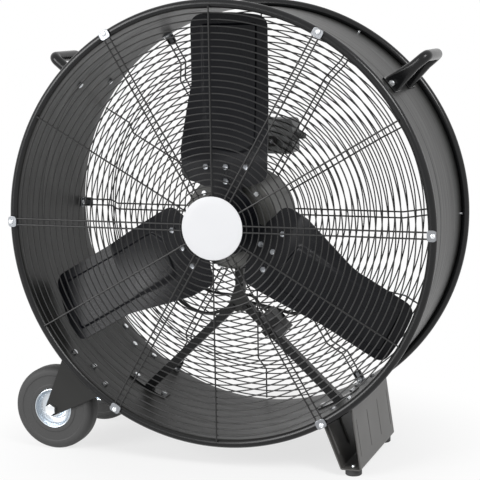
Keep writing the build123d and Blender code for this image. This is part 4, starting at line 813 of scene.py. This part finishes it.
# Clips: flat plates with pads at the front, and angle clips at the rear, with a screw each
clip = {
    "count": 6, "middle": 397.0, "size": (16.0, 20.0), "corner": 5.0, "depths": (-157.0, -155.5),
    "soft": 0.4, "padSize": (11.0, 16.0), "padCorner": 1.5, "padDepths": (-155.5, -153.1),
    "padSoft": 0.3, "rearWidth": 18.0, "rearCorner": 2.0, "rearLeg": (387.35, 388.8),
    "rearDepths": (125.0, 141.0), "rearPlate": (368.8, 388.8), "rearPlateDepths": (139.5, 141.0),
}
clipScrew = {"radius": 399.5, "head": (4.5, 2.4), "shank": 2.0, "lift": 0.05, "grip": 9.4,
             "rearDepth": 132.5, "rearSeat": 387.2, "rearGrip": 6.9}


def halfAndMiddle(span):
    # Half of a span's length, and its middle.
    return (span[1] - span[0]) / 2, (span[0] + span[1]) / 2


plateLine = squareRound(clip["size"][0] / 2, clip["size"][1] / 2, clip["corner"])
padLine = squareRound(clip["padSize"][0] / 2, clip["padSize"][1] / 2, clip["padCorner"])
legHalf, legMiddle = halfAndMiddle(clip["rearDepths"])
rearHalf, rearMiddle = halfAndMiddle(clip["rearPlate"])
legLine = squareRound(legHalf, clip["rearWidth"] / 2, clip["rearCorner"])
rearLine = squareRound(rearHalf, clip["rearWidth"] / 2, clip["rearCorner"])
plates, screws, rearPlates, rearScrews = [], [], [], []
for angle in np.arange(clip["count"]) * 360 / clip["count"]:
    plates.append(slab(plateLine, edgeRows(*clip["depths"], clip["soft"]),
                       lambda a, b, h: onDrum(angle, clip["middle"] + a, h, b)))
    plates.append(slab(padLine, edgeRows(*clip["padDepths"], clip["padSoft"]),
                       lambda a, b, h: onDrum(angle, clipScrew["radius"] + a, h, b)))
    screws.append(panScrew(onFace(angle, clipScrew["radius"], clip["depths"][0] - clipScrew["lift"]),
                           *clipScrew["head"], clipScrew["shank"], clipScrew["grip"]))
    rearPlates.append(slab(legLine, edgeRows(*clip["rearLeg"], clip["soft"]),
                           lambda a, b, h: onDrum(angle, h, legMiddle + a, b)))
    rearPlates.append(slab(rearLine, edgeRows(*clip["rearPlateDepths"], clip["soft"]),
                           lambda a, b, h: onDrum(angle, rearMiddle + a, h, b)))
    rearScrews.append(panScrew(inWall(angle, clipScrew["rearDepth"], clipScrew["rearSeat"]),
                               *clipScrew["head"], clipScrew["shank"], clipScrew["rearGrip"]))
meshPiece("frontClips", plates, clipZinc, "drum", "front_clips")
meshPiece("frontClipScrews", screws, zincPlate, "drum", "front_clip_screws", angle=40)
meshPiece("rearClips", rearPlates, clipZinc, "drum", "rear_clips")
meshPiece("rearClipScrews", rearScrews, zincPlate, "drum", "rear_clip_screws", angle=40)

# Foot: a folded plate box with pressed grooves down both sides
foot = {
    "wall": 390.7, "angles": (-60.5, -50.5), "bases": (229.0, 267.0), "height": 12.0, "plate": 2.5,
    "depths": (-136.0, 114.0), "corner": 4.0, "sideRows": 49,
    "grooves": (-120.5, -47.5, 25.5, 98.5), "grooveWidth": 1.7, "grooveDeep": 2.2,
    "grooveMiddle": 68.0, "grooveHalf": 33.0, "slant": 1.06,    # slant: side length per mm of height
    "grooveMarks": (0.45, 0.9, 1.3, 1.7, 3.0),                  # rows either side of a groove
}


def footSection(inset):
    # The closed line of the folded plate: down the outer side, under the base, up the inner side
    # and back along the wall.
    inner, outer = [onDrum(a, foot["wall"], 0.0)[[0, 2]] for a in foot["angles"]]
    baseIn, baseOut = [(x, foot["height"]) for x in foot["bases"]]
    wall = onDrum(np.linspace(*foot["angles"], 9)[1:-1], foot["wall"], 0.0)[:, [0, 2]]
    bend = rounded([outer, baseOut, baseIn, inner], foot["corner"], closed=False)
    firstBend, lastBend = bend[1:8], bend[8:-1]
    evenly = lambda a, b, count: a + (b - a) * np.linspace(0, 1, count)[:, None]
    line = np.concatenate([evenly(outer, firstBend[0], foot["sideRows"])[:-1], firstBend,
                           evenly(firstBend[-1], lastBend[0], 5)[1:-1], lastBend,
                           evenly(lastBend[-1], inner, foot["sideRows"])[1:], wall])
    return drawnIn(line, inset)


def footGrid(inset):
    # Rows along the depth; each groove sinks the plate by deep x (1 - (distance / width)^2),
    # the distance being to the groove's middle line. The section runs clockwise, so its inward
    # normal is its direction turned clockwise, (dz, -dx).
    line = footSection(inset)
    marks = np.array(foot["grooveMarks"])
    grooves = np.array(foot["grooves"])
    nearGrooves = (grooves[:, None] + [*-marks, 0, *marks]).ravel()
    depths = np.unique(np.concatenate([nearGrooves, np.linspace(*foot["depths"], 26)]))
    ahead = np.roll(line, -1, 0) - np.roll(line, 1, 0)
    inward = np.stack([ahead[:, 1], -ahead[:, 0]], -1) / np.linalg.norm(ahead, axis=1)[:, None]
    height = np.abs(line[:, 1] - foot["grooveMiddle"]) * foot["slant"]
    beyond = np.maximum(height - foot["grooveHalf"], 0)
    nearest = np.min(np.abs(depths[:, None] - grooves), axis=1)
    distance = np.hypot(nearest[:, None], beyond[None, :])
    sink = foot["grooveDeep"] * np.clip(1 - (distance / foot["grooveWidth"]) ** 2, 0, 1)
    grid = line + sink[..., None] * inward
    return np.stack([grid[..., 0], np.broadcast_to(depths[:, None], sink.shape), grid[..., 1]], -1)


meshPiece("foot", [between(footGrid(0), footGrid(foot["plate"]), closedColumns=True)],
          footPaint, "drum", "foot_bracket", angle=40)
print("handles, clips and foot made")

# Leads: the capacitor lies on the strut, which runs down from the apex along (across, down).
# Its distance from the apex and its length are measured along the strut.
strut = {"across": 0.7239, "down": 0.6899, "apex": 287.0, "depth": -8.0, "size": 16.0}
capacitor = {"reach": 78.0, "length": 52.0, "thick": 24.0, "gap": 0.1, "leadStraight": 22.1}


def overStrut(along):
    # A point on the capacitor's middle line: apex + along x run + lift x the run's normal.
    lift = strut["size"] / 2 + capacitor["gap"] + capacitor["thick"] / 2
    return (strut["across"] * along + strut["down"] * lift, strut["depth"],
            strut["apex"] - strut["down"] * along + strut["across"] * lift)


capacitorEnd = capacitor["reach"] - capacitor["length"] / 2
leads = {
    "motorLead": ("motor_lead", 6.5, [
        (-24, 111.5, 551), (-24, 111.5, 515), (6, 105, 491), (42, 100, 485), (70, 98, 465),
        (70, 98, 413), (86, 104, 373), (114, 110, 331), (146, 110, 290), (146, 64, 290),
        (137, 30, 275), (104, 17, 256), (60, 16, 267), (15, 14, 276), (-9, 14, 280), (-40, 14, 260),
        (-77, 14, 248), (-117, 14, 262), (-138, 14, 278), (-155, 14, 306), (-150, 14, 338),
        (-122.7, 14, 360.2), (-74.6, 14, 392.7)]),
    "capacitorLead": ("capacitor_lead", 5.5, [
        (-59, 14, 375.1), (-85.3, 14, 344.9), (-97, 14, 323), (-92, 14, 302), (-57, 14, 291),
        (-9, 14, 290), (18, 8, 293), overStrut(capacitorEnd - capacitor["leadStraight"]),
        overStrut(capacitorEnd)]),
}


def leadPiece(name, node, diameter, points):
    # A bevelled curve on one open spline of second degree through its end points.
    curve = bpy.data.curves.new(name, "CURVE")
    curve.dimensions = "3D"
    spline = curve.splines.new("NURBS")
    spline.points.add(len(points) - 1)
    places = np.ones((len(points), 4))
    places[:, :3] = np.asarray(points, float) * mm
    spline.points.foreach_set("co", places.ravel())
    spline.order_u = 3
    spline.use_endpoint_u = True
    spline.resolution_u = 10
    curve.bevel_depth = diameter / 2 * mm
    curve.bevel_resolution = 4
    curve.use_fill_caps = True
    curve.materials.append(jacketBlack)
    piece = bpy.data.objects.new(name, curve)
    scene.collection.objects.link(piece)
    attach(piece, "drum")
    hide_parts(node)


for name, (node, diameter, points) in leads.items():
    leadPiece(name, node, diameter, points)
print("leads made")
